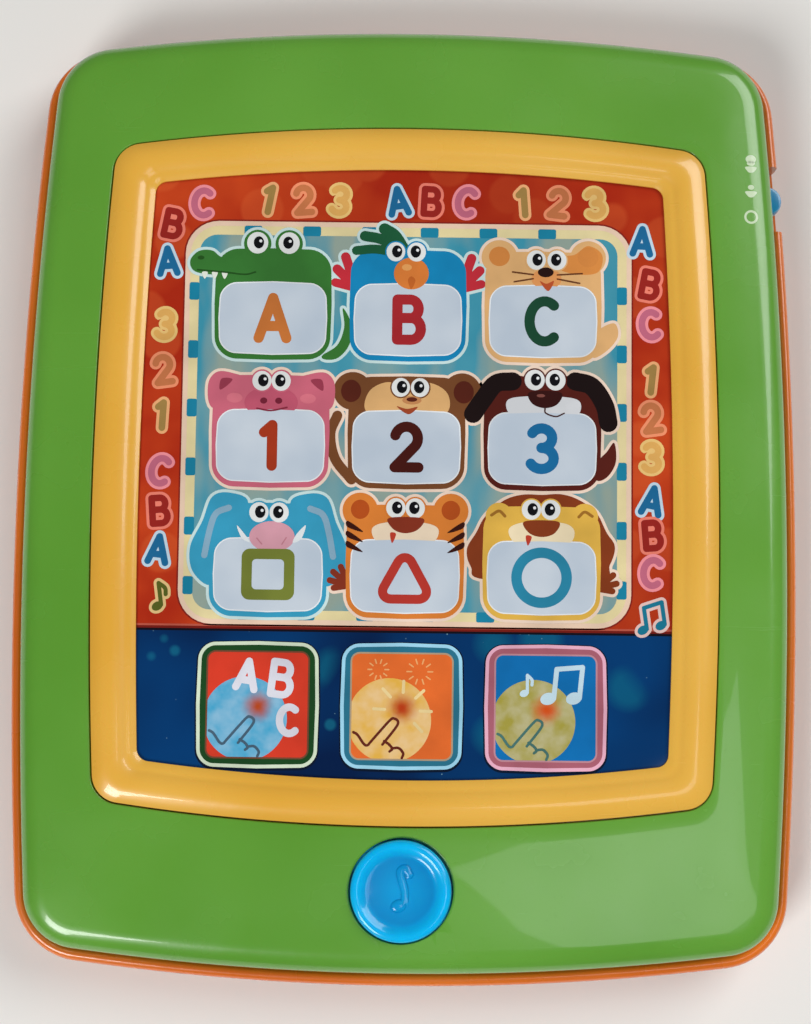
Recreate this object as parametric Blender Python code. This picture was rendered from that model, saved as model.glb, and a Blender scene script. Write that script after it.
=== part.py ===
"""Toy learning tablet: a framed touch picture, a press button, a volume slider, a speaker and a battery bay,
between two moulded shells. Metres, +Z up. It lies on its back with the picture facing up and its top edge
towards +Y. The origin is at the centre of its footprint, on the surface that it rests on."""

import math
from dataclasses import dataclass, replace

import bmesh
import bpy
from mathutils import Matrix, Vector

MM = 0.001

# Overall size
BODY_WIDTH = 190.0 * MM
BODY_HEIGHT = 232.6 * MM

# Clearances
GAP = 0.3 * MM  # between pieces that touch when assembled
SEAM = 0.35 * MM  # visible seam round the bezel
BUTTON_CLEARANCE = 0.4 * MM
DOOR_CLEARANCE = 0.4 * MM
SLIDER_CLEARANCE = 0.4 * MM
CAPTIVE_CLEARANCE = 0.6 * MM  # lets the door screw swing out with its door

# Outlines: each side is a shallow arc, and the corners are filleted
SIDE_ARC = 1240.0 * MM
TOP_ARC = 570.0 * MM
BOTTOM_ARC = 600.0 * MM
BEZEL_SIDE_ARC = 1114.0 * MM
SCREEN_SIDE_ARC = 1300.0 * MM
BEZEL_END_ARC = 480.0 * MM
BODY_WIDEST_Y = -15.0 * MM
BEZEL_WIDEST_Y = -5.0 * MM
BODY_TOP_CORNER = 16.0 * MM
BODY_BOTTOM_CORNER = 17.0 * MM
BEZEL_CORNER = 6.8 * MM
SCREEN_CORNER = 3.0 * MM
RIM_SIDE = 3.25 * MM  # how far the rear shell stands out past the front shell
RIM_TOP = 1.4 * MM
RIM_BOTTOM = 3.6 * MM
BORDER_SIDE = 17.15 * MM  # green border round the bezel
BORDER_TOP = 25.6 * MM
BAND_SIDE = 10.9 * MM  # bezel band
BAND_TOP = 10.1 * MM
BAND_BOTTOM = 10.7 * MM

# Steps round an outline and across a profile
SIDE_STEPS = 5
END_STEPS = 2  # for half of the top or bottom side
CORNER_STEPS = 4
EDGE_STEPS = 3
CROWN_STEPS = 4
RIM_STEPS = 4
SPRING_STEPS = 10  # a turn
SPRING_SIDES = 6
TURN_STEPS = 20
SMALL_TURN_STEPS = 10

# Rear shell
REAR_WALL = 2.2 * MM
REAR_EDGE_SPAN = 9.0 * MM
REAR_EDGE_RISE = 10.0 * MM
RIM_BASE_Z = 12.9 * MM
RIM_CREST = 2.1 * MM
LEDGE_Z = 13.6 * MM
TONGUE_HEIGHT = 3.0 * MM
TONGUE_WALL = 1.6 * MM
TONGUE_ROOT_Z = 11.6 * MM
RIM_TURN = math.radians(150)  # how far round the rim's bead goes before the groove

# Front shell
FRONT_WALL = 2.2 * MM
FRONT_EDGE_SPAN = 6.0 * MM
FRONT_EDGE_RISE = 5.0 * MM
FACE_RISE = 0.45 * MM  # from its rounded edge to the seam
FACE_SWELL = 0.15 * MM  # how much the face rises between its edge and the bezel

# Bezel
BEZEL_EDGE_RISE = 0.7 * MM  # above the underside of its lip
BEZEL_STEP = 0.55 * MM  # from the front shell up to its edge
BEZEL_CROWN = 1.5 * MM
BEZEL_PEAK = 0.55  # where across the broad band it is highest
LIP_START = 0.77  # where across the band the inner lip begins
LIP_THICKNESS = 0.4 * MM
LIP_COVER = 2.5 * MM  # how far the lip covers the picture's margin
BEZEL_WALL = 1.8 * MM
BEZEL_FLANGE = 1.2 * MM
BEZEL_DEPTH = 4.1 * MM  # below its lip

# Picture, touch membrane and backing plate
PICTURE_THICKNESS = 0.5 * MM
MEMBRANE_THICKNESS = 0.4 * MM
BACKING_WALL = 1.6 * MM
BACKING_FLANGE = 1.3 * MM
BAY_TO_BACKING = 1.7 * MM
TAIL_WIDTH = 12.0 * MM
TAIL_THICKNESS = 0.4 * MM
TAIL_FROM_EDGE = 7.4 * MM

# Home button
BUTTON_HOLE_RADIUS = 12.25 * MM
BUTTON_TO_EDGE = 7.35 * MM  # from the hole to the front shell's bottom edge
BUTTON_TO_BEZEL = 2.75 * MM
BUTTON_PROUD = 1.75 * MM  # above the seam round the bezel
BUTTON_DISH = 1.0 * MM
BUTTON_RIM_WIDTH = 2.6 * MM
BUTTON_SKIN = 1.8 * MM
BUTTON_FLANGE = 1.15 * MM
BUTTON_FLANGE_THICKNESS = 1.6 * MM
BUTTON_POST_RADIUS = 3.2 * MM
BUTTON_POST_RECESS = 0.2 * MM  # above the flange's underside
DOME_RADIUS = 7.0 * MM
DOME_WALL = 0.9 * MM

# Main board
BOARD_THICKNESS = 1.6 * MM
BOARD_TOP_Z = 15.6 * MM
BOARD_HALF_WIDTH = 36.0 * MM
BOARD_LENGTH = 40.0 * MM
BOARD_BELOW_BUTTON = 11.0 * MM
BOARD_SCREW_INSET_X = 4.0 * MM
BOARD_SCREW_INSET_Y = 6.0 * MM
BLOB_RADIUS = 6.0 * MM
BLOB_HEIGHT = 1.7 * MM
CAPACITOR_RADIUS = 2.5 * MM
CAPACITOR_LENGTH = 11.0 * MM
CONNECTOR_DEPTH = 5.0 * MM
CONNECTOR_HEIGHT = 2.2 * MM
CONNECTOR_SHOULDER = 2.0 * MM
CONNECTOR_FROM_EDGE = 2.0 * MM
BLOB_FROM_EDGE = 13.0 * MM
CAPACITOR_FROM_EDGE = 6.0 * MM
CAPACITOR_FROM_LOW_EDGE = 16.0 * MM

# Speaker, facing the rear
SPEAKER_RADIUS = 18.0 * MM
SPEAKER_RIM_HEIGHT = 3.1 * MM
SPEAKER_DEPTH = 7.5 * MM
SPEAKER_WALL = 1.3 * MM
SPEAKER_RIM = 2.0 * MM  # how wide the flat rim that the clamp presses on is
SPEAKER_WAIST = 1.0 * MM  # past the magnet
MAGNET_RADIUS = 10.0 * MM
MAGNET_HEIGHT = 5.5 * MM
CONE_WALL = 0.5 * MM
CONE_CLEARANCE = 0.8 * MM
CONE_DEPTH = 3.0 * MM
CONE_VALLEY = 0.3  # how far out from the middle the cone is deepest
CONE_TRAVEL = 0.3 * MM
CLAMP_THICKNESS = 1.2 * MM
CLAMP_WIDTH = 4.0 * MM
CLAMP_EAR = 4.6 * MM  # from the speaker's edge out to the clamp screw
LOCATING_RIB = 1.2 * MM
BOARD_TO_SPEAKER = 10.0 * MM
GRILLE_SLOTS = 7
GRILLE_PITCH = 4.0 * MM
GRILLE_SLOT_WIDTH = 1.8 * MM
GRILLE_RADIUS = 14.0 * MM

# Battery bay: two AA cells lying across the tablet
CELL_RADIUS = 7.1 * MM
CELL_LENGTH = 50.3 * MM
CELL_NUB_LENGTH = 1.2 * MM
CELL_NUB_RADIUS = 2.7 * MM
CELL_CLEARANCE = 0.9 * MM
CELL_REST_Z = 2.8 * MM
BAY_WALL = 1.6 * MM
SPRING_LENGTH = 4.0 * MM
SPRING_RADIUS = 4.0 * MM
SPRING_TIP_RADIUS = 2.2 * MM
SPRING_WIRE = 0.45 * MM
SPRING_TURNS = 2.5
CONTACT_THICKNESS = 0.5 * MM
CONTACT_HALF_WIDTH = 5.5 * MM
CONTACT_LOW_Z = 4.0 * MM
CONTACT_TAB_Z = 14.2 * MM
CONTACT_TAB_HALF_WIDTH = 1.5 * MM
CONTACT_TAB_LENGTH = 2.8 * MM  # past the bay's wall
SPEAKER_TO_DOOR = 30.0 * MM

# Battery door
DOOR_THICKNESS = 1.9 * MM
DOOR_RECESS = 0.3 * MM
DOOR_SIDE_MARGIN = 1.5 * MM
DOOR_HINGE_MARGIN = 2.0 * MM
DOOR_SCREW_SKIN = 0.7 * MM
DOOR_SCREW_MARGIN = 12.0 * MM
DOOR_SCREW_FROM_EDGE = 5.0 * MM
DOOR_LEDGE = 2.6 * MM
DOOR_LEDGE_THICKNESS = 2.0 * MM
DOOR_BOSS_RADIUS = 4.0 * MM
DOOR_BOSS_TOP_Z = 9.5 * MM
DOOR_SCREW_TIP_Z = 6.0 * MM
TAB_HALF_WIDTH = 4.0 * MM
TAB_OFFSET = 15.0 * MM
TAB_REACH = 2.2 * MM
TAB_THICKNESS = 1.7 * MM
TAB_ROOT = 3.0 * MM
TAB_HEADROOM = 3.2 * MM

# Volume slider and its switch
SLIDER_FROM_TOP = 40.6 * MM
SLIDER_TRAVEL = 4.0 * MM  # each way
KNOB_LENGTH = 7.5 * MM
KNOB_LOW_Z = 8.0 * MM
KNOB_HIGH_Z = 13.2 * MM
KNOB_PROUD = 4.0 * MM  # past the front shell's edge
KNOB_ROUNDING = 0.8 * MM
SHUTTER_THICKNESS = 1.3 * MM
SHUTTER_OVERLAP = 1.0 * MM
SHUTTER_INSIDE = 6.0 * MM  # from the front shell's edge
FORK_HEIGHT = 3.5 * MM
FORK_DEPTH = 2.6 * MM
FORK_WALL = 1.0 * MM
LEVER_WIDTH = 1.8 * MM
LEVER_LENGTH = 5.9 * MM
SWITCH_DEPTH = 4.7 * MM
SWITCH_HALF_LENGTH = 8.5 * MM
SWITCH_HALF_HEIGHT = 2.5 * MM
SWITCH_TO_SHUTTER = 5.4 * MM
SWITCH_BOARD_THICKNESS = 1.3 * MM
SWITCH_BOARD_HALF_LENGTH = 12.0 * MM
SWITCH_BOARD_TOP_Z = 16.0 * MM
HOLDER_GRIP = 1.5 * MM
HOLDER_WALL = 1.7 * MM
HOLDER_TOP_Z = 9.0 * MM

# Screws
CASE_SCREW_RADIUS = 1.4 * MM
CASE_SCREW_HEAD_RADIUS = 2.9 * MM
CASE_SCREW_HEAD_HEIGHT = 2.1 * MM
CASE_SCREW_TO_FACE = 4.6 * MM
CASE_SEAT_Z = 9.0 * MM
CASE_BOSS_RADIUS = 5.2 * MM
CASE_BOSS_TOP_Z = 12.8 * MM
FRONT_BOSS_RADIUS = 3.6 * MM
CASE_SCREW_SIDE = 8.3 * MM  # from the front shell's edge, for the pair at mid height
CASE_SCREW_CORNER_X = 19.8 * MM
CASE_SCREW_CORNER_TOP = 17.9 * MM
CASE_SCREW_CORNER_BOTTOM = 15.6 * MM
SMALL_SCREW_RADIUS = 1.0 * MM
SMALL_SCREW_HEAD_RADIUS = 2.2 * MM
SMALL_SCREW_HEAD_HEIGHT = 1.4 * MM
SMALL_SCREW_LENGTH = 5.0 * MM
PLATE_SCREW_LENGTH = 4.2 * MM
CLAMP_SCREW_LENGTH = 4.2 * MM
PLATE_SCREW_FROM_END = 40.0 * MM
BOSS_RADIUS = 2.9 * MM
BOARD_POST_RADIUS = 3.0 * MM

# Wiring
WIRE_RADIUS = 0.65 * MM
SWITCH_CABLE_RADIUS = 1.1 * MM
WIRE_POINT_SPACING = 6.5 * MM


@dataclass(frozen=True)
class Pillow:
    """A four-sided outline symmetrical in X, whose sides are shallow arcs and whose corners are filleted."""

    half_width: float
    top: float
    bottom: float
    widest_y: float
    side_arc: float
    top_arc: float
    bottom_arc: float
    top_corner: float
    bottom_corner: float

    def grown(self, by):
        """The parallel outline that lies outside this one by the distance, or inside it if negative."""
        return replace(
            self,
            half_width=self.half_width + by,
            top=self.top + by,
            bottom=self.bottom - by,
            side_arc=self.side_arc + by,
            top_arc=self.top_arc + by,
            bottom_arc=self.bottom_arc + by,
            top_corner=max(self.top_corner + by, 0.8 * MM),
            bottom_corner=max(self.bottom_corner + by, 0.8 * MM),
        )

    def side_centre(self):
        return Vector((self.half_width - self.side_arc, self.widest_y))

    def end_centre(self, end):
        """The centre of the top side's arc for end 1, or of the bottom side's for end -1."""
        if end > 0:
            return Vector((0, self.top - self.top_arc))
        return Vector((0, self.bottom + self.bottom_arc))

    def half_width_at(self, y):
        return self.side_centre().x + math.sqrt(self.side_arc**2 - (y - self.widest_y) ** 2)

    def corner(self, end):
        """The centre and radius of the right-hand fillet at that end."""
        radius = self.top_corner if end > 0 else self.bottom_corner
        from_side = self.side_arc - radius
        from_end = (self.top_arc if end > 0 else self.bottom_arc) - radius
        start, goal = self.side_centre(), self.end_centre(end)
        apart = (goal - start).length
        along = (from_side**2 - from_end**2 + apart**2) / (2 * apart)
        across = math.sqrt(from_side**2 - along**2)
        direction = (goal - start) / apart
        normal = Vector((-direction.y, direction.x))
        found = [start + direction * along + normal * across * sign for sign in (1, -1)]
        return max(found, key=lambda centre: centre.y * end), radius

    def points(self):
        """The outline, anticlockwise from the middle of its bottom side."""
        (low, low_radius), (high, high_radius) = self.corner(-1), self.corner(1)
        side, bottom, top = self.side_centre(), self.end_centre(-1), self.end_centre(1)
        low_end, low_side = angle_of(low - bottom), angle_of(low - side)
        high_side, high_end = angle_of(high - side), angle_of(high - top)
        right = arc(bottom, self.bottom_arc, -math.pi / 2, low_end, END_STEPS)
        right += arc(low, low_radius, low_end, low_side, CORNER_STEPS)[1:]
        right += arc(side, self.side_arc, low_side, high_side, SIDE_STEPS)[1:]
        right += arc(high, high_radius, high_side, high_end, CORNER_STEPS)[1:]
        right += arc(top, self.top_arc, high_end, math.pi / 2, END_STEPS)[1:]
        left = [Vector((-point.x, point.y)) for point in reversed(right[1:-1])]
        return right + left


def angle_of(direction):
    return math.atan2(direction.y, direction.x)


def arc(centre, radius, start, end, steps):
    turns = [start + (end - start) * step / steps for step in range(steps + 1)]
    return [centre + radius * Vector((math.cos(turn), math.sin(turn))) for turn in turns]


def ring(outline, z):
    return [Vector((point.x, point.y, z)) for point in outline.points()]


def ring_between(first, second, share, z):
    """The outline that lies that share of the way from the first to the second."""
    return [a.lerp(b, share) for a, b in zip(ring(first, z), ring(second, z), strict=True)]


def round_edge(start_inset, end_inset, start_z, end_z):
    """(inset, z) pairs along a quarter ellipse, upright at its start and level at its end."""
    turns = [math.pi / 2 * step / EDGE_STEPS for step in range(EDGE_STEPS + 1)]
    inset, rise = end_inset - start_inset, end_z - start_z
    return [(start_inset + inset * (1 - math.cos(turn)), start_z + rise * math.sin(turn)) for turn in turns]


# Shapes, each one closed body in a bmesh of its own


def loft(rings, joined=False):
    """Skins the rings point to point, and closes the two ends, or joins the last ring to the first."""
    bm = bmesh.new()
    loops = [[bm.verts.new(point) for point in points] for points in rings]
    pairs = list(zip(loops, loops[1:], strict=False))
    if joined:
        pairs.append((loops[-1], loops[0]))
    else:
        bm.faces.new(loops[0])
        bm.faces.new(loops[-1])
    for first, second in pairs:
        for index, vert in enumerate(first):
            bm.faces.new((vert, first[index - 1], second[index - 1], second[index]))
    return bm


def turned(centre, profile, steps=TURN_STEPS):
    """Spins (radius, z) pairs round a vertical axis: from the axis back to it, or all round for a ring."""
    bm = bmesh.new()
    verts = [bm.verts.new((radius, 0, z)) for radius, z in profile]
    for pair in zip(verts, verts[1:], strict=False):
        bm.edges.new(pair)
    if profile[0][0] > 0:
        bm.edges.new((verts[-1], verts[0]))
    line = bm.verts[:] + bm.edges[:]
    bmesh.ops.spin(
        bm, geom=line, cent=(0, 0, 0), axis=(0, 0, 1), angle=math.tau, steps=steps, use_merge=True
    )
    bmesh.ops.remove_doubles(bm, verts=bm.verts, dist=1e-7)
    bmesh.ops.translate(bm, verts=bm.verts, vec=(centre[0], centre[1], 0))
    return bm


def box(low, high):
    low, high = Vector(low), Vector(high)
    bm = bmesh.new()
    bmesh.ops.create_cube(bm, size=1)
    bmesh.ops.scale(bm, verts=bm.verts, vec=high - low)
    bmesh.ops.translate(bm, verts=bm.verts, vec=(low + high) / 2)
    return bm


def rod(centre, radius, low_z, high_z, steps=SMALL_TURN_STEPS):
    """An upright cylinder."""
    return turned(centre, [(0, low_z), (radius, low_z), (radius, high_z), (0, high_z)], steps)


def lying_rod(start, radii, steps=TURN_STEPS):
    """A round bar along +X from the start point, given as (distance, radius) pairs."""
    bm = turned((0, 0), [(radius, distance) for distance, radius in radii], steps)
    bmesh.ops.rotate(bm, verts=bm.verts, matrix=Matrix.Rotation(math.pi / 2, 3, "Y"))
    bmesh.ops.translate(bm, verts=bm.verts, vec=start)
    return bm


def slot(centre, half_length, half_width, low_z, high_z):
    """An upright slot along Y with round ends."""
    reach = Vector((0, half_length - half_width))
    outline = arc(centre + reach, half_width, 0, math.pi, CORNER_STEPS)
    outline += arc(centre - reach, half_width, math.pi, math.tau, CORNER_STEPS)
    return loft([[Vector((p.x, p.y, z)) for p in outline] for z in (low_z, high_z)])


def ribbon(path, width, thickness):
    """A flat strip that follows (y, z) points, centred on x = 0."""
    points = [Vector(point) for point in path]
    rings = []
    for index, point in enumerate(points):
        ahead = points[min(index + 1, len(points) - 1)] - points[max(index - 1, 0)]
        side = Vector((-ahead.y, ahead.x)).normalized() * thickness / 2
        corners = [(-1, -1), (1, -1), (1, 1), (-1, 1)]
        rings.append([(x * width / 2, point.x + side.x * s, point.y + side.y * s) for x, s in corners])
    return loft(rings)


# Objects


def material(name, colour, roughness, metallic=0.0, transmission=0.0):
    made = bpy.data.materials.new(name)
    made.use_nodes = True
    shader = made.node_tree.nodes["Principled BSDF"]
    shader.inputs["Base Color"].default_value = (*colour, 1)
    shader.inputs["Roughness"].default_value = roughness
    shader.inputs["Metallic"].default_value = metallic
    shader.inputs["Transmission Weight"].default_value = transmission
    made.diffuse_color = (*colour, 1)
    return made


def face_outwards(shape):
    bmesh.ops.recalc_face_normals(shape, faces=shape.faces)
    if shape.calc_volume(signed=True) < 0:
        bmesh.ops.reverse_faces(shape, faces=shape.faces)


def solid(name, finish, *shapes, origin=(0, 0, 0)):
    """One object that holds the shapes, with its own origin at the point given."""
    whole = bmesh.new()
    for shape in shapes:
        face_outwards(shape)
        passing = bpy.data.meshes.new("passing")
        shape.to_mesh(passing)
        shape.free()
        whole.from_mesh(passing)
        bpy.data.meshes.remove(passing)
    bmesh.ops.translate(whole, verts=whole.verts, vec=-Vector(origin))
    mesh = bpy.data.meshes.new(name)
    whole.to_mesh(mesh)
    whole.free()
    mesh.shade_smooth()
    mesh.set_sharp_from_angle(angle=math.radians(30))
    if finish:
        mesh.materials.append(finish)
    made = bpy.data.objects.new(name, mesh)
    made.location = origin
    bpy.context.scene.collection.objects.link(made)
    return made


def combine(target, operation, label, shapes):
    """Applies the shapes, which stay clear of each other, with a Boolean modifier and a hidden helper."""
    helper = solid(f"{target.name}_{label}", None, *shapes)
    helper.hide_render = True
    helper.display_type = "WIRE"
    change = target.modifiers.new(label, "BOOLEAN")
    change.operation = operation
    change.object = helper
    change.solver = "EXACT"


def join(target, label, *shapes):
    combine(target, "UNION", label, shapes)


def cut(target, label, *shapes):
    combine(target, "DIFFERENCE", label, shapes)


def wire(name, finish, radius, route):
    """A round cable on one smooth curve through the route's points, with filled ends."""
    smooth = smooth_points([Vector(point) for point in route])
    curve = bpy.data.curves.new(name, "CURVE")
    curve.dimensions = "3D"
    curve.bevel_depth = radius
    curve.bevel_resolution = 2
    curve.use_fill_caps = True
    spline = curve.splines.new("POLY")
    spline.points.add(len(smooth) - 1)
    for point, place in zip(spline.points, smooth, strict=True):
        point.co = (*place, 1)
    curve.materials.append(finish)
    made = bpy.data.objects.new(name, curve)
    bpy.context.scene.collection.objects.link(made)
    return made


def smooth_points(route):
    """Points along a Catmull-Rom curve through the route's own points."""
    ends = [2 * route[0] - route[1], *route, 2 * route[-1] - route[-2]]
    found = []
    for before, start, end, after in zip(ends, ends[1:], ends[2:], ends[3:], strict=False):
        steps = max(2, round((end - start).length / WIRE_POINT_SPACING))
        for step in range(steps):
            share = step / steps
            bend = 2 * before - 5 * start + 4 * end - after
            turn = 3 * start - before - 3 * end + after
            found.append(0.5 * (2 * start + (end - before) * share + bend * share**2 + turn * share**3))
    return [*found, route[-1]]


def screw(name, finish, seat, radius, head_radius, head_height, length, down=False, origin=(0, 0, 0)):
    """A pan-head screw whose head bears on the seat point and whose shank runs up from it, or down."""
    profile = [
        (0, -head_height),
        (0.7 * head_radius, -head_height),
        (head_radius, -0.45 * head_height),
        (head_radius, 0),
        (radius, 0),
        (radius, length - radius),
        (0.4 * radius, length),
        (0, length),
    ]
    way = -1 if down else 1
    shape = turned(seat, [(r, seat[2] + way * z) for r, z in profile], SMALL_TURN_STEPS)
    return solid(name, finish, shape, origin=origin)


def small_screw(name, x, y, seat_z, length, down):
    seat = (x, y, seat_z)
    return screw(
        name, STEEL, seat, SMALL_SCREW_RADIUS, SMALL_SCREW_HEAD_RADIUS, SMALL_SCREW_HEAD_HEIGHT, length, down
    )


# The outlines

REAR = Pillow(
    half_width=BODY_WIDTH / 2,
    top=BODY_HEIGHT / 2,
    bottom=-BODY_HEIGHT / 2,
    widest_y=BODY_WIDEST_Y,
    side_arc=SIDE_ARC,
    top_arc=TOP_ARC,
    bottom_arc=BOTTOM_ARC,
    top_corner=BODY_TOP_CORNER,
    bottom_corner=BODY_BOTTOM_CORNER,
)
FRONT = replace(
    REAR,
    half_width=REAR.half_width - RIM_SIDE,
    top=REAR.top - RIM_TOP,
    bottom=REAR.bottom + RIM_BOTTOM,
    side_arc=SIDE_ARC - RIM_SIDE,
    top_corner=BODY_TOP_CORNER - RIM_TOP,
    bottom_corner=BODY_BOTTOM_CORNER - RIM_BOTTOM,
)
BEZEL = Pillow(
    half_width=FRONT.half_width - BORDER_SIDE,
    top=FRONT.top - BORDER_TOP,
    bottom=FRONT.bottom + BUTTON_TO_EDGE + 2 * BUTTON_HOLE_RADIUS + BUTTON_TO_BEZEL,
    widest_y=BEZEL_WIDEST_Y,
    side_arc=BEZEL_SIDE_ARC,
    top_arc=BEZEL_END_ARC,
    bottom_arc=BEZEL_END_ARC,
    top_corner=BEZEL_CORNER,
    bottom_corner=BEZEL_CORNER,
)
SCREEN = replace(
    BEZEL,
    half_width=BEZEL.half_width - BAND_SIDE,
    top=BEZEL.top - BAND_TOP,
    bottom=BEZEL.bottom + BAND_BOTTOM,
    side_arc=SCREEN_SIDE_ARC,
    top_corner=SCREEN_CORNER,
    bottom_corner=SCREEN_CORNER,
)
OPENING = BEZEL.grown(SEAM)

# Heights that follow from the sizes above

CELL_Z = CELL_REST_Z + CELL_RADIUS
BAY_TOP_Z = CELL_REST_Z + 2 * CELL_RADIUS + 2 * GAP
BACKING_TOP_Z = BAY_TOP_Z + BAY_WALL + BAY_TO_BACKING + BACKING_WALL
MEMBRANE_TOP_Z = BACKING_TOP_Z + GAP + MEMBRANE_THICKNESS
PICTURE_TOP_Z = MEMBRANE_TOP_Z + GAP + PICTURE_THICKNESS
LIP_UNDER_Z = PICTURE_TOP_Z + GAP
LIP_EDGE_Z = LIP_UNDER_Z + LIP_THICKNESS
BEZEL_EDGE_Z = LIP_UNDER_Z + BEZEL_EDGE_RISE
BEZEL_FOOT_Z = LIP_UNDER_Z - BEZEL_DEPTH
FACE_SEAM_Z = BEZEL_EDGE_Z - BEZEL_STEP
FACE_EDGE_Z = FACE_SEAM_Z - FACE_RISE
CASE_SCREW_TIP_Z = FACE_EDGE_Z - CASE_SCREW_TO_FACE
BUTTON_TOP_Z = FACE_SEAM_Z + BUTTON_PROUD
BUTTON_FLANGE_TOP_Z = FACE_EDGE_Z - FRONT_WALL - 2 * GAP
BUTTON_POST_Z = BUTTON_FLANGE_TOP_Z - BUTTON_FLANGE_THICKNESS + BUTTON_POST_RECESS
BACKING_FLANGE_TOP_Z = BEZEL_FOOT_Z - GAP
BACKING_LOW_Z = BACKING_FLANGE_TOP_Z - BACKING_FLANGE
BOARD_LOW_Z = BOARD_TOP_Z - BOARD_THICKNESS
ON_BOARD_Z = BOARD_TOP_Z + GAP
SPEAKER_Z = REAR_WALL + GAP
CLAMP_Z = SPEAKER_Z + SPEAKER_RIM_HEIGHT + GAP
DOOR_TOP_Z = DOOR_RECESS + DOOR_THICKNESS
DOOR_SEAT_Z = DOOR_TOP_Z + GAP
KNOB_Z = (KNOB_LOW_Z + KNOB_HIGH_Z) / 2

# Places that follow from the sizes above

BUTTON_Y = FRONT.bottom + BUTTON_TO_EDGE + BUTTON_HOLE_RADIUS
BOARD_LOW_Y = BUTTON_Y - BOARD_BELOW_BUTTON
BOARD_HIGH_Y = BOARD_LOW_Y + BOARD_LENGTH
SPEAKER_Y = BOARD_HIGH_Y + BOARD_TO_SPEAKER + SPEAKER_RADIUS
DOOR_LOW_Y = SPEAKER_Y + SPEAKER_RADIUS + SPEAKER_TO_DOOR
CELL_PITCH = 2 * CELL_RADIUS + CELL_CLEARANCE
BAY_LOW_Y = DOOR_LOW_Y + DOOR_HINGE_MARGIN
BAY_HIGH_Y = BAY_LOW_Y + CELL_PITCH + 2 * (CELL_RADIUS + CELL_CLEARANCE)
BAY_Y = (BAY_LOW_Y + BAY_HIGH_Y) / 2
BAY_HALF_X = (CELL_LENGTH + SPRING_LENGTH) / 2 + CONTACT_THICKNESS + 2.5 * GAP
DOOR_HIGH_Y = BAY_HIGH_Y + DOOR_SCREW_MARGIN
DOOR_HALF_X = BAY_HALF_X + DOOR_SIDE_MARGIN
DOOR_SCREW_Y = DOOR_HIGH_Y - DOOR_SCREW_FROM_EDGE
CELL_YS = (BAY_Y - CELL_PITCH / 2, BAY_Y + CELL_PITCH / 2)
SLIDER_Y = REAR.top - SLIDER_FROM_TOP
SLIDER_EDGE_X = FRONT.half_width_at(SLIDER_Y)
NOTCH_HALF = KNOB_LENGTH / 2 + SLIDER_TRAVEL + SLIDER_CLEARANCE
SHUTTER_X = SLIDER_EDGE_X - SHUTTER_INSIDE
SHUTTER_INNER_X = SHUTTER_X - SHUTTER_THICKNESS
SWITCH_X = SHUTTER_INNER_X - SWITCH_TO_SHUTTER
SWITCH_BOARD_X = SWITCH_X - SWITCH_DEPTH - GAP
CLAMP_SCREW_X = SPEAKER_RADIUS + CLAMP_EAR
CORNER_X = FRONT.half_width - CASE_SCREW_CORNER_X
CASE_SCREWS = [
    (side * x, y)
    for x, y in (
        (CORNER_X, FRONT.top - CASE_SCREW_CORNER_TOP),
        (FRONT.half_width - CASE_SCREW_SIDE, 0),
        (CORNER_X, FRONT.bottom + CASE_SCREW_CORNER_BOTTOM),
    )
    for side in (-1, 1)
]
BOARD_SCREWS = [
    (side * (BOARD_HALF_WIDTH - BOARD_SCREW_INSET_X), y)
    for y in (BOARD_LOW_Y + BOARD_SCREW_INSET_Y, BOARD_HIGH_Y - BOARD_SCREW_INSET_Y)
    for side in (-1, 1)
]


def band_middle_at(y):
    """How far from the middle the hollow in the bezel's band is centred, at that y."""
    inner, outer = SCREEN.grown(LIP_COVER + BEZEL_WALL), BEZEL.grown(-BEZEL_WALL)
    return (inner.half_width_at(y) + outer.half_width_at(y)) / 2


PLATE_SCREWS = [
    (side * band_middle_at(y), y)
    for y in (BEZEL.bottom + PLATE_SCREW_FROM_END, BEZEL.top - PLATE_SCREW_FROM_END)
    for side in (-1, 1)
]
CLAMP_SCREWS = [(side * CLAMP_SCREW_X, SPEAKER_Y) for side in (-1, 1)]


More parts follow.
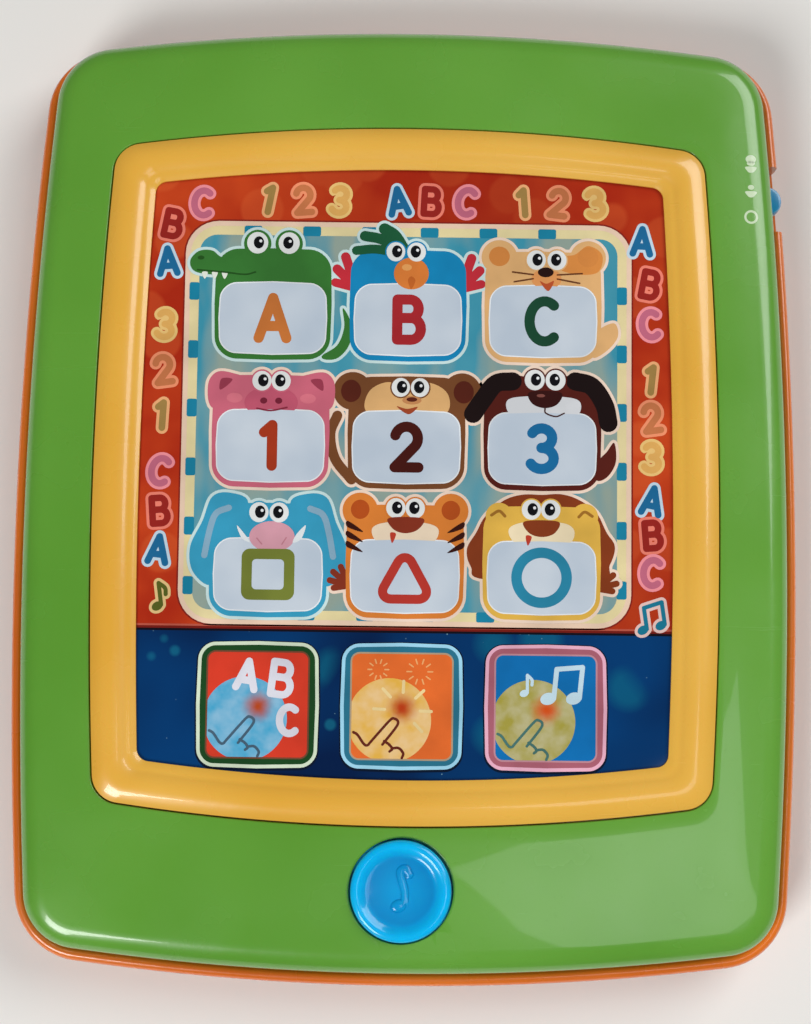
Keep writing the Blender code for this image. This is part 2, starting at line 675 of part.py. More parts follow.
def build_rear_shell():
    outer = [
        ring(REAR.grown(-inset), z)
        for inset, z in reversed(
            [(inset, REAR_EDGE_RISE - z) for inset, z in round_edge(0, REAR_EDGE_SPAN, 0, REAR_EDGE_RISE)]
        )
    ]
    groove = FRONT.grown(GAP)
    rim = []
    for step in range(RIM_STEPS + 1):
        turn = RIM_TURN * step / RIM_STEPS
        share = (1 - math.cos(turn)) / 2
        rim.append(ring_between(REAR, groove, share, RIM_BASE_Z + RIM_CREST * math.sin(turn)))
    tongue = FRONT.grown(-FRONT_WALL - GAP)
    tongue_inside = tongue.grown(-TONGUE_WALL)
    tongue_top_z = LEDGE_Z + TONGUE_HEIGHT
    seat = [
        ring(groove, LEDGE_Z),
        ring(tongue, LEDGE_Z),
        ring(tongue, tongue_top_z),
        ring(tongue_inside, tongue_top_z),
        ring(tongue_inside, TONGUE_ROOT_Z),
    ]
    inner = [
        ring(REAR.grown(-inset), REAR_EDGE_RISE - z)
        for inset, z in round_edge(REAR_WALL, REAR_EDGE_SPAN + REAR_WALL, 0, REAR_EDGE_RISE - REAR_WALL)
    ]
    shell = solid("rear_shell", ORANGE, loft(outer + rim + seat + inner))
    cut(shell, "grille", *grille_slots())
    notch_low = (SHUTTER_X, SLIDER_Y - NOTCH_HALF, KNOB_LOW_Z - SLIDER_CLEARANCE)
    notch_high = (REAR.half_width + REAR_WALL, SLIDER_Y + NOTCH_HALF, tongue_top_z + REAR_WALL)
    cut(shell, "slider_notch", box(notch_low, notch_high))

    root_z = REAR_WALL / 2
    bay_low = (-BAY_HALF_X - BAY_WALL, BAY_LOW_Y - BAY_WALL, root_z)
    bay_high = (BAY_HALF_X + BAY_WALL, BAY_HIGH_Y + BAY_WALL, BAY_TOP_Z + BAY_WALL)
    join(shell, "bay", box(bay_low, bay_high))
    frame_margin = DOOR_CLEARANCE + DOOR_LEDGE
    frame_low = (-DOOR_HALF_X - frame_margin, DOOR_LOW_Y - frame_margin, root_z)
    frame_high = (DOOR_HALF_X + frame_margin, DOOR_HIGH_Y + frame_margin, DOOR_SEAT_Z + DOOR_LEDGE_THICKNESS)
    join(shell, "door_frame", box(frame_low, frame_high))
    locating_radius = SPEAKER_RADIUS + 1.5 * GAP
    join(
        shell,
        "locating_rib",
        turned(
            (0, SPEAKER_Y),
            [
                (locating_radius, root_z),
                (locating_radius + LOCATING_RIB, root_z),
                (locating_radius + LOCATING_RIB, CLAMP_Z - 3 * GAP),
                (locating_radius, CLAMP_Z - 3 * GAP),
            ],
        ),
    )
    join(
        shell,
        "bosses",
        *[rod(place, CASE_BOSS_RADIUS, root_z, CASE_BOSS_TOP_Z) for place in CASE_SCREWS],
        *[rod(place, BOARD_POST_RADIUS, root_z, BOARD_LOW_Z - GAP) for place in BOARD_SCREWS],
        *[rod(place, BOSS_RADIUS, root_z, CLAMP_Z - GAP) for place in CLAMP_SCREWS],
        rod((0, DOOR_SCREW_Y), DOOR_BOSS_RADIUS, root_z, DOOR_BOSS_TOP_Z),
        *switch_holders(),
    )
    cut(
        shell,
        "door_recess",
        box(
            (-DOOR_HALF_X - DOOR_CLEARANCE, DOOR_LOW_Y - DOOR_CLEARANCE, -REAR_WALL),
            (DOOR_HALF_X + DOOR_CLEARANCE, DOOR_HIGH_Y + DOOR_CLEARANCE, DOOR_SEAT_Z),
        ),
    )
    cut(
        shell,
        "bay_inside",
        box((-BAY_HALF_X, BAY_LOW_Y, -2 * REAR_WALL), (BAY_HALF_X, BAY_HIGH_Y, BAY_TOP_Z)),
    )
    tab_room = TAB_HALF_WIDTH + DOOR_CLEARANCE
    cut(
        shell,
        "tab_slots",
        *[
            box(
                (x - tab_room, DOOR_LOW_Y - frame_margin - GAP, REAR_WALL),
                (x + tab_room, BAY_LOW_Y + GAP, DOOR_SEAT_Z + TAB_THICKNESS + TAB_HEADROOM),
            )
            for x in (-TAB_OFFSET, TAB_OFFSET)
        ],
    )
    cut(shell, "contact_slots", *[contact_tab(y, GAP) for y in CELL_YS])
    cut(
        shell,
        "screw_holes",
        *[turned(place, case_hole(), SMALL_TURN_STEPS) for place in CASE_SCREWS],
        *[pilot(place, BOARD_LOW_Z - SMALL_SCREW_LENGTH, BOARD_TOP_Z) for place in BOARD_SCREWS],
        *[pilot(place, CLAMP_Z - CLAMP_SCREW_LENGTH + CLAMP_THICKNESS, CLAMP_Z) for place in CLAMP_SCREWS],
        rod((0, DOOR_SCREW_Y), CASE_SCREW_RADIUS + CAPTIVE_CLEARANCE, REAR_WALL, DOOR_SCREW_TIP_Z + 2 * GAP),
    )


def case_hole():
    """The counterbore and through hole for a case screw."""
    return [
        (0, -REAR_WALL),
        (CASE_SCREW_HEAD_RADIUS + 2 * GAP, -REAR_WALL),
        (CASE_SCREW_HEAD_RADIUS + 2 * GAP, CASE_SEAT_Z),
        (CASE_SCREW_RADIUS + GAP, CASE_SEAT_Z),
        (CASE_SCREW_RADIUS + GAP, CASE_BOSS_TOP_Z + REAR_WALL),
        (0, CASE_BOSS_TOP_Z + REAR_WALL),
    ]


def pilot(place, low_z, high_z):
    return rod(place, SMALL_SCREW_RADIUS + GAP, low_z - GAP, high_z)


def grille_slots():
    """Upright slots that fill a circle."""
    found = []
    for index in range(GRILLE_SLOTS):
        x = (index - (GRILLE_SLOTS - 1) / 2) * GRILLE_PITCH
        centre, reach = Vector((x, SPEAKER_Y)), math.sqrt(GRILLE_RADIUS**2 - x**2)
        found.append(slot(centre, reach, GRILLE_SLOT_WIDTH / 2, -REAR_WALL, 2 * REAR_WALL))
    return found


def switch_holders():
    """Two posts, each with a groove that the switch board's end stands in."""
    groove_low = SWITCH_BOARD_X - SWITCH_BOARD_THICKNESS - GAP
    groove_high = SWITCH_BOARD_X + GAP
    found = []
    for side in (-1, 1):
        end = SWITCH_BOARD_HALF_LENGTH + GAP
        y_values = [side * (end - HOLDER_GRIP), side * end, side * (end + HOLDER_WALL)]
        outline = [
            (groove_low - HOLDER_WALL, y_values[0]),
            (groove_low, y_values[0]),
            (groove_low, y_values[1]),
            (groove_high, y_values[1]),
            (groove_high, y_values[0]),
            (groove_high + HOLDER_WALL, y_values[0]),
            (groove_high + HOLDER_WALL, y_values[2]),
            (groove_low - HOLDER_WALL, y_values[2]),
        ]
        rings = [[Vector((x, SLIDER_Y + y, z)) for x, y in outline] for z in (REAR_WALL / 2, HOLDER_TOP_Z)]
        found.append(loft(rings))
    return found


def build_front_shell():
    edge = round_edge(0, FRONT_EDGE_SPAN, FACE_EDGE_Z - FRONT_EDGE_RISE, FACE_EDGE_Z)
    outer = [ring(FRONT, LEDGE_Z + GAP)] + [ring(FRONT.grown(-inset), z) for inset, z in edge]
    face_inner = FRONT.grown(-FRONT_EDGE_SPAN)
    middle_z = (FACE_EDGE_Z + FACE_SEAM_Z) / 2 + FACE_SWELL
    under_z = FACE_SEAM_Z - FRONT_WALL
    face = [ring_between(face_inner, OPENING, 0.5, middle_z), ring(OPENING, FACE_SEAM_Z)]
    back = [ring(OPENING, under_z), ring_between(face_inner, OPENING, 0.5, middle_z - FRONT_WALL)]
    inside = round_edge(
        FRONT_WALL, FRONT_EDGE_SPAN + FRONT_WALL / 2, FACE_EDGE_Z - FRONT_EDGE_RISE, FACE_EDGE_Z - FRONT_WALL
    )
    inner = [ring(FRONT.grown(-inset), z) for inset, z in reversed(inside)]
    inner.append(ring(FRONT.grown(-FRONT_WALL), LEDGE_Z + GAP))
    shell = solid("front_shell", GREEN, loft(outer + face + back + inner, joined=True))
    foot_z = CASE_BOSS_TOP_Z + GAP
    root_z = FACE_EDGE_Z - FRONT_WALL / 2
    join(shell, "bosses", *[rod(place, FRONT_BOSS_RADIUS, foot_z, root_z) for place in CASE_SCREWS])
    cut(
        shell,
        "holes",
        *[rod(place, CASE_SCREW_RADIUS + GAP, foot_z - GAP, CASE_SCREW_TIP_Z + GAP) for place in CASE_SCREWS],
        rod((0, BUTTON_Y), BUTTON_HOLE_RADIUS, BUTTON_FLANGE_TOP_Z - GAP, BUTTON_TOP_Z, TURN_STEPS),
    )


def build_bezel():
    crown = []
    for step in range(CROWN_STEPS + 1):
        share = step / CROWN_STEPS
        rise = 1 - ((share - BEZEL_PEAK) / BEZEL_PEAK) ** 2
        crown.append(ring_between(BEZEL, SCREEN, share * LIP_START, BEZEL_EDGE_Z + BEZEL_CROWN * rise))
    well = SCREEN.grown(LIP_COVER)
    hollow_inner, hollow_outer = well.grown(BEZEL_WALL), BEZEL.grown(-BEZEL_WALL)
    flange = BEZEL.grown(BEZEL_FLANGE)
    hollow_top_z = LIP_UNDER_Z - GAP
    flange_top_z = FACE_SEAM_Z - FRONT_WALL - GAP
    rest = [
        ring(SCREEN, LIP_EDGE_Z),
        ring(SCREEN, LIP_UNDER_Z),
        ring(well, LIP_UNDER_Z),
        ring(well, BEZEL_FOOT_Z),
        ring(hollow_inner, BEZEL_FOOT_Z),
        ring(hollow_inner, hollow_top_z),
        ring(hollow_outer, hollow_top_z),
        ring(hollow_outer, BEZEL_FOOT_Z),
        ring(flange, BEZEL_FOOT_Z),
        ring(flange, flange_top_z),
        ring(BEZEL, flange_top_z),
    ]
    bezel = solid("screen_bezel", YELLOW, loft(crown + rest, joined=True))
    boss_top_z = LIP_UNDER_Z + GAP
    join(bezel, "bosses", *[rod(place, BOSS_RADIUS, BEZEL_FOOT_Z, boss_top_z) for place in PLATE_SCREWS])
    tip_z = BACKING_LOW_Z - GAP + PLATE_SCREW_LENGTH
    cut(bezel, "pilots", *[pilot(place, BEZEL_FOOT_Z, tip_z + GAP) for place in PLATE_SCREWS])


def build_picture():
    """The printed sheet, the touch membrane behind it, its flat tail, and the plate that backs them."""
    sheet = SCREEN.grown(LIP_COVER - GAP)
    picture_low_z = PICTURE_TOP_Z - PICTURE_THICKNESS
    solid("picture_sheet", PRINT, loft([ring(sheet, picture_low_z), ring(sheet, PICTURE_TOP_Z)]))
    membrane_low_z = MEMBRANE_TOP_Z - MEMBRANE_THICKNESS
    solid("touch_membrane", FILM, loft([ring(sheet, membrane_low_z), ring(sheet, MEMBRANE_TOP_Z)]))

    flange = BEZEL.grown(BEZEL_FLANGE)
    inside = sheet.grown(-BACKING_WALL)
    plate = solid(
        "backing_plate",
        GREY,
        loft(
            [
                ring(inside, BACKING_TOP_Z - BACKING_WALL),
                ring(inside, BACKING_LOW_Z),
                ring(flange, BACKING_LOW_Z),
                ring(flange, BACKING_FLANGE_TOP_Z),
                ring(sheet, BACKING_FLANGE_TOP_Z),
                ring(sheet, BACKING_TOP_Z),
            ]
        ),
    )
    tail_y = SCREEN.bottom + TAIL_FROM_EDGE
    tail_room = (TAIL_WIDTH / 2 + GAP, TAIL_THICKNESS / 2 + 2 * GAP)
    cut(
        plate,
        "holes",
        *[pilot(place, BACKING_LOW_Z, BEZEL_FOOT_Z) for place in PLATE_SCREWS],
        box(
            (-tail_room[0], tail_y - tail_room[1], BACKING_LOW_Z),
            (tail_room[0], tail_y + tail_room[1], MEMBRANE_TOP_Z),
        ),
    )
    for index, (x, y) in enumerate(PLATE_SCREWS, 1):
        small_screw(f"plate_screw_{index}", x, y, BACKING_LOW_Z - GAP, PLATE_SCREW_LENGTH, down=False)
    end_y, end_z = BOARD_HIGH_Y - CONNECTOR_FROM_EDGE + GAP, ON_BOARD_Z + CONNECTOR_HEIGHT / 2
    bend = (tail_y - end_y) / 2
    turns = [math.pi / 2 * step / EDGE_STEPS for step in range(EDGE_STEPS + 1)]
    path = [(tail_y, membrane_low_z - GAP)]
    path += [(tail_y - bend * (1 - math.cos(turn)), end_z + bend * (1 - math.sin(turn))) for turn in turns]
    path += [(end_y, end_z)]
    solid("membrane_tail", FILM, ribbon(path, TAIL_WIDTH, TAIL_THICKNESS))


def build_home_button():
    cap_radius = BUTTON_HOLE_RADIUS - BUTTON_CLEARANCE
    flange_radius = BUTTON_HOLE_RADIUS + BUTTON_FLANGE
    inner_radius = cap_radius - BUTTON_SKIN
    dish_z = BUTTON_TOP_Z - BUTTON_DISH
    under_z = dish_z - BUTTON_SKIN
    flange_low_z = BUTTON_FLANGE_TOP_Z - BUTTON_FLANGE_THICKNESS
    profile = [
        (0, BUTTON_POST_Z),
        (BUTTON_POST_RADIUS, BUTTON_POST_Z),
        (BUTTON_POST_RADIUS, under_z),
        (inner_radius, under_z),
        (inner_radius, flange_low_z),
        (flange_radius, flange_low_z),
        (flange_radius, BUTTON_FLANGE_TOP_Z),
        (cap_radius, BUTTON_FLANGE_TOP_Z),
    ]
    rim = BUTTON_RIM_WIDTH / 2
    for step in range(EDGE_STEPS + 1):
        turn = math.pi * step / EDGE_STEPS
        profile.append((cap_radius - rim * (1 - math.cos(turn)), BUTTON_TOP_Z - rim * (1 - math.sin(turn))))
    profile += [(0.5 * cap_radius, dish_z), (0, dish_z)]
    place = (0, BUTTON_Y)
    solid("home_button_cap", CYAN, turned(place, profile), origin=(0, BUTTON_Y, BUTTON_FLANGE_TOP_Z))

    dome_top_z = BUTTON_POST_Z - GAP
    foot = ON_BOARD_Z + DOME_WALL
    dome = [
        (0, dome_top_z - DOME_WALL),
        (BUTTON_POST_RADIUS - DOME_WALL, dome_top_z - DOME_WALL),
        (DOME_RADIUS - 3 * DOME_WALL, foot),
        (DOME_RADIUS - 3 * DOME_WALL, ON_BOARD_Z),
        (DOME_RADIUS, ON_BOARD_Z),
        (DOME_RADIUS, foot),
        (DOME_RADIUS - 2 * DOME_WALL, foot),
        (BUTTON_POST_RADIUS, dome_top_z),
        (0, dome_top_z),
    ]
    solid("home_button_dome", SILICONE, turned(place, dome))


def build_main_board():
    low = (-BOARD_HALF_WIDTH, BOARD_LOW_Y, BOARD_LOW_Z)
    board = solid("main_board", BOARD_GREEN, box(low, (BOARD_HALF_WIDTH, BOARD_HIGH_Y, BOARD_TOP_Z)))
    cut(board, "screw_holes", *[pilot(place, BOARD_LOW_Z, BOARD_TOP_Z + GAP) for place in BOARD_SCREWS])
    for index, (x, y) in enumerate(BOARD_SCREWS, 1):
        small_screw(f"board_screw_{index}", x, y, ON_BOARD_Z, SMALL_SCREW_LENGTH, down=True)
    blob = []
    for turn in quarter_turns():
        blob.append((BLOB_RADIUS * math.cos(turn), ON_BOARD_Z + BLOB_HEIGHT * math.sin(turn)))
    blob_place = (-BOARD_HALF_WIDTH + BLOB_FROM_EDGE, BOARD_LOW_Y + BOARD_LENGTH / 2)
    solid("controller_blob", BLACK, turned(blob_place, [(0, ON_BOARD_Z), *blob]))
    bevel = CAPACITOR_RADIUS / 5
    can = [
        (0, 0),
        (0, CAPACITOR_RADIUS - bevel),
        (bevel, CAPACITOR_RADIUS),
        (CAPACITOR_LENGTH - bevel, CAPACITOR_RADIUS),
        (CAPACITOR_LENGTH, CAPACITOR_RADIUS - bevel),
        (CAPACITOR_LENGTH, 0),
    ]
    can_x = BOARD_HALF_WIDTH - CAPACITOR_FROM_EDGE - CAPACITOR_LENGTH
    can_place = (can_x, BOARD_LOW_Y + CAPACITOR_FROM_LOW_EDGE, ON_BOARD_Z + CAPACITOR_RADIUS)
    solid("capacitor", BLUE_SLEEVE, lying_rod(can_place, can, SMALL_TURN_STEPS))
    connector_high_y = BOARD_HIGH_Y - CONNECTOR_FROM_EDGE
    half_width = TAIL_WIDTH / 2 + CONNECTOR_SHOULDER
    solid(
        "membrane_connector",
        WHITE,
        box(
            (-half_width, connector_high_y - CONNECTOR_DEPTH, ON_BOARD_Z),
            (half_width, connector_high_y, ON_BOARD_Z + CONNECTOR_HEIGHT),
        ),
    )


def quarter_turns():
    """Angles from level to upright."""
    return [math.pi / 2 * step / EDGE_STEPS for step in range(EDGE_STEPS)] + [math.pi / 2]


def build_speaker():
    place = (0, SPEAKER_Y)
    inner, shoulder = SPEAKER_RADIUS - SPEAKER_WALL, SPEAKER_RADIUS - SPEAKER_RIM
    waist = MAGNET_RADIUS + SPEAKER_WAIST
    rim_z, back_z = SPEAKER_Z + SPEAKER_RIM_HEIGHT, SPEAKER_Z + SPEAKER_DEPTH
    pole = MAGNET_RADIUS / 2
    frame = [
        (inner, SPEAKER_Z),
        (SPEAKER_RADIUS, SPEAKER_Z),
        (SPEAKER_RADIUS, rim_z),
        (shoulder, rim_z),
        (waist, back_z),
        (pole, back_z),
        (pole, back_z - SPEAKER_WALL),
        (waist - SPEAKER_WALL, back_z - SPEAKER_WALL),
        (shoulder - SPEAKER_WALL, rim_z - SPEAKER_WALL),
        (inner, rim_z - SPEAKER_WALL),
    ]
    solid("speaker_frame", STEEL, turned(place, frame))
    magnet_z = back_z + GAP
    magnet = rod(place, MAGNET_RADIUS, magnet_z, magnet_z + MAGNET_HEIGHT, TURN_STEPS)
    solid("speaker_magnet", DARK_STEEL, magnet)
    cone_z = SPEAKER_Z + CONE_TRAVEL + GAP
    under = [
        (0, cone_z + CONE_DEPTH / 2),
        (CONE_VALLEY * SPEAKER_RADIUS, cone_z + CONE_DEPTH),
        (inner - 2 * CONE_CLEARANCE, cone_z),
        (inner - CONE_CLEARANCE, cone_z),
    ]
    over = [(radius, z + CONE_WALL) for radius, z in reversed(under)]
    solid("speaker_cone", PAPER, turned(place, under + over), origin=(0, SPEAKER_Y, cone_z))

    clamp_inner, clamp_outer = shoulder + GAP, shoulder + GAP + CLAMP_WIDTH
    clamp_top_z = CLAMP_Z + CLAMP_THICKNESS
    clamp_ring = [
        (clamp_inner, CLAMP_Z),
        (clamp_outer, CLAMP_Z),
        (clamp_outer, clamp_top_z),
        (clamp_inner, clamp_top_z),
    ]
    clamp = solid("speaker_clamp", BLACK, turned(place, clamp_ring))
    join(clamp, "ears", *[rod(ear, BOSS_RADIUS + GAP, CLAMP_Z, clamp_top_z) for ear in CLAMP_SCREWS])
    cut(clamp, "screw_holes", *[pilot(ear, CLAMP_Z, clamp_top_z + GAP) for ear in CLAMP_SCREWS])
    for index, (x, y) in enumerate(CLAMP_SCREWS, 1):
        small_screw(f"speaker_screw_{index}", x, y, clamp_top_z + GAP, CLAMP_SCREW_LENGTH, down=True)


def contact_tab(y, room=0.0):
    """The solder tab through the bay's wall, or the slot for it when given some room."""
    low = (BAY_HALF_X - GAP - CONTACT_THICKNESS / 2, y - CONTACT_TAB_HALF_WIDTH - room, CONTACT_TAB_Z - room)
    high_x = BAY_HALF_X + BAY_WALL + CONTACT_TAB_LENGTH
    high = (high_x + room, y + CONTACT_TAB_HALF_WIDTH + room, CONTACT_TAB_Z + CONTACT_THICKNESS + room)
    return box(low, high)


def build_batteries():
    """Two cells side by side, lying opposite ways, with the contacts and springs at their ends."""
    edge = 4 * GAP
    body = CELL_LENGTH - CELL_NUB_LENGTH
    cell = [
        (0, 0),
        (0, CELL_RADIUS - edge),
        (edge, CELL_RADIUS),
        (body - edge, CELL_RADIUS),
        (body, CELL_RADIUS - edge),
        (body, CELL_NUB_RADIUS),
        (CELL_LENGTH, CELL_NUB_RADIUS),
        (CELL_LENGTH, 0),
    ]
    contact_face = BAY_HALF_X - GAP - CONTACT_THICKNESS
    for index, (y, way) in enumerate(zip(CELL_YS, (1, -1), strict=True), 1):
        start_x = contact_face - GAP - CELL_LENGTH
        shape = lying_rod((start_x, 0, CELL_Z), cell)
        if way < 0:
            bmesh.ops.rotate(shape, verts=shape.verts, matrix=Matrix.Rotation(math.pi, 3, "Z"))
        bmesh.ops.translate(shape, verts=shape.verts, vec=(0, y, 0))
        solid(f"battery_{index}", BATTERY, shape)
        solid(f"contact_spring_{index}", NICKEL, contact_spring(y, way))
    contact_high_z = CELL_Z + CONTACT_HALF_WIDTH
    bridge_low = (-contact_face - CONTACT_THICKNESS, CELL_YS[0] - CONTACT_HALF_WIDTH, CONTACT_LOW_Z)
    bridge_high = (-contact_face, CELL_YS[1] + CONTACT_HALF_WIDTH, contact_high_z)
    solid("contact_bridge", NICKEL, box(bridge_low, bridge_high))
    for name, y in zip(("contact_plate_positive", "contact_plate_negative"), CELL_YS, strict=True):
        low = (contact_face, y - CONTACT_HALF_WIDTH, CONTACT_LOW_Z)
        plate = solid(
            name, NICKEL, box(low, (contact_face + CONTACT_THICKNESS, y + CONTACT_HALF_WIDTH, contact_high_z))
        )
        join(plate, "tab", contact_tab(y))


def contact_spring(y, way):
    """A conical coil between a contact and the flat end of its cell."""
    start_x = -way * (BAY_HALF_X - GAP - CONTACT_THICKNESS - GAP - SPRING_WIRE)
    reach = SPRING_LENGTH - 2 * SPRING_WIRE
    count = round(SPRING_TURNS * SPRING_STEPS)
    rings = []
    for index in range(count + 1):
        share = index / count
        turn = math.tau * SPRING_TURNS * share
        radius = SPRING_RADIUS + (SPRING_TIP_RADIUS - SPRING_RADIUS) * share
        out = Vector((0, math.cos(turn), math.sin(turn)))
        centre = Vector((start_x + way * reach * share, y, CELL_Z)) + out * radius
        across = Vector((way * SPRING_WIRE, 0, 0))
        corners = [math.tau * corner / SPRING_SIDES for corner in range(SPRING_SIDES)]
        rings.append([centre + across * math.cos(a) + out * SPRING_WIRE * math.sin(a) for a in corners])
    return loft(rings)


def build_battery_door():
    hinge = (0, DOOR_LOW_Y - DOOR_CLEARANCE / 2, 0)
    low = (-DOOR_HALF_X, DOOR_LOW_Y, DOOR_RECESS)
    door = solid("battery_door", ORANGE, box(low, (DOOR_HALF_X, DOOR_HIGH_Y, DOOR_TOP_Z)), origin=hinge)
    tab_low_z = REAR_WALL + GAP
    tab_high_z = tab_low_z + TAB_THICKNESS
    tip_y = DOOR_LOW_Y - DOOR_CLEARANCE - TAB_REACH
    root_y = DOOR_LOW_Y + TAB_ROOT
    for index, x in enumerate((-TAB_OFFSET, TAB_OFFSET), 1):
        profile = [
            (DOOR_LOW_Y + GAP, DOOR_TOP_Z - GAP),
            (root_y, DOOR_TOP_Z - GAP),
            (root_y, tab_high_z),
            (tip_y, tab_high_z),
            (tip_y, tab_low_z),
            (DOOR_LOW_Y + GAP, tab_low_z),
        ]
        sides = (x - TAB_HALF_WIDTH, x + TAB_HALF_WIDTH)
        join(door, f"tab_{index}", loft([[Vector((side, y, z)) for y, z in profile] for side in sides]))
    head_room = CASE_SCREW_HEAD_RADIUS + 2 * GAP
    seat_z = DOOR_TOP_Z - DOOR_SCREW_SKIN
    hole = [
        (0, -DOOR_RECESS),
        (head_room, -DOOR_RECESS),
        (head_room, seat_z),
        (CASE_SCREW_RADIUS + GAP, seat_z),
        (CASE_SCREW_RADIUS + GAP, DOOR_SEAT_Z),
        (0, DOOR_SEAT_Z),
    ]
    cut(door, "screw_hole", turned((0, DOOR_SCREW_Y), hole, SMALL_TURN_STEPS))
    head_z = seat_z - GAP
    screw(
        "battery_door_screw",
        STEEL,
        (0, DOOR_SCREW_Y, head_z),
        CASE_SCREW_RADIUS,
        CASE_SCREW_HEAD_RADIUS,
        head_z - DOOR_RECESS,
        DOOR_SCREW_TIP_Z - head_z,
        origin=(0, DOOR_SCREW_Y, head_z),
    )


def build_volume_slider():
    origin = (SHUTTER_X, SLIDER_Y, KNOB_Z)
    tip_x = SLIDER_EDGE_X + KNOB_PROUD
    half = KNOB_LENGTH / 2
    outline = [Vector((SHUTTER_X - GAP, -half)), Vector((tip_x - half, -half))]
    outline += arc(Vector((tip_x - half, 0)), half, -math.pi / 2, math.pi / 2, 2 * CORNER_STEPS)[1:]
    outline += [Vector((SHUTTER_X - GAP, half))]
    levels = ((KNOB_LOW_Z, KNOB_ROUNDING), (KNOB_LOW_Z + KNOB_ROUNDING, 0))
    levels += ((KNOB_HIGH_Z - KNOB_ROUNDING, 0), (KNOB_HIGH_Z, KNOB_ROUNDING))
    rings = []
    for z, inset in levels:
        scale = (half - inset) / half
        rings.append(
            [Vector((tip_x - inset - (tip_x - p.x) * scale, SLIDER_Y + p.y * scale, z)) for p in outline]
        )
    for ring_points in rings:
        for point in (ring_points[0], ring_points[-1]):
            point.x = SHUTTER_X - GAP
    shutter_half = NOTCH_HALF + SLIDER_TRAVEL + SHUTTER_OVERLAP
    shutter_low = (SHUTTER_INNER_X, SLIDER_Y - shutter_half, KNOB_LOW_Z - SHUTTER_OVERLAP)
    shutter_high = (SHUTTER_X, SLIDER_Y + shutter_half, KNOB_HIGH_Z + SHUTTER_OVERLAP)
    knob = solid("volume_knob", CYAN, box(shutter_low, shutter_high), origin=origin)
    join(knob, "grip", loft(rings))
    fork_gap = LEVER_WIDTH / 2 + GAP
    for label, side in (("fork_low", -1), ("fork_high", 1)):
        y_values = sorted((SLIDER_Y + side * fork_gap, SLIDER_Y + side * (fork_gap + FORK_WALL)))
        join(
            knob,
            label,
            box(
                (SHUTTER_INNER_X - FORK_DEPTH, y_values[0], KNOB_Z - FORK_HEIGHT / 2),
                (SHUTTER_INNER_X + GAP, y_values[1], KNOB_Z + FORK_HEIGHT / 2),
            ),
        )

    lever_high_x = SHUTTER_INNER_X - GAP
    lever_half = LEVER_WIDTH / 2
    lever_low = (lever_high_x - LEVER_LENGTH, SLIDER_Y - lever_half, KNOB_Z - lever_half)
    lever_high = (lever_high_x, SLIDER_Y + lever_half, KNOB_Z + lever_half)
    solid("slide_switch_lever", BLACK, box(lever_low, lever_high))
    case_low = (SWITCH_X - SWITCH_DEPTH, SLIDER_Y - SWITCH_HALF_LENGTH, KNOB_Z - SWITCH_HALF_HEIGHT)
    case_high = (SWITCH_X, SLIDER_Y + SWITCH_HALF_LENGTH, KNOB_Z + SWITCH_HALF_HEIGHT)
    case = solid("slide_switch_case", STEEL, box(case_low, case_high))
    room = lever_half + GAP
    reach = lever_half + SLIDER_TRAVEL + SLIDER_CLEARANCE
    slot_low = (lever_low[0] - 2 * GAP, SLIDER_Y - reach, KNOB_Z - room)
    cut(case, "lever_slot", box(slot_low, (SWITCH_X + GAP, SLIDER_Y + reach, KNOB_Z + room)))
    board_low_x = SWITCH_BOARD_X - SWITCH_BOARD_THICKNESS
    board_low = (board_low_x, SLIDER_Y - SWITCH_BOARD_HALF_LENGTH, REAR_WALL + GAP)
    board_high = (SWITCH_BOARD_X, SLIDER_Y + SWITCH_BOARD_HALF_LENGTH, SWITCH_BOARD_TOP_Z)
    solid("switch_board", BOARD_GREEN, box(board_low, board_high))


def build_case_screws():
    seat_z = CASE_SEAT_Z - GAP
    for index, (x, y) in enumerate(CASE_SCREWS, 1):
        screw(
            f"case_screw_{index}",
            STEEL,
            (x, y, seat_z),
            CASE_SCREW_RADIUS,
            CASE_SCREW_HEAD_RADIUS,
            CASE_SCREW_HEAD_HEIGHT,
            CASE_SCREW_TIP_Z - seat_z,
        )


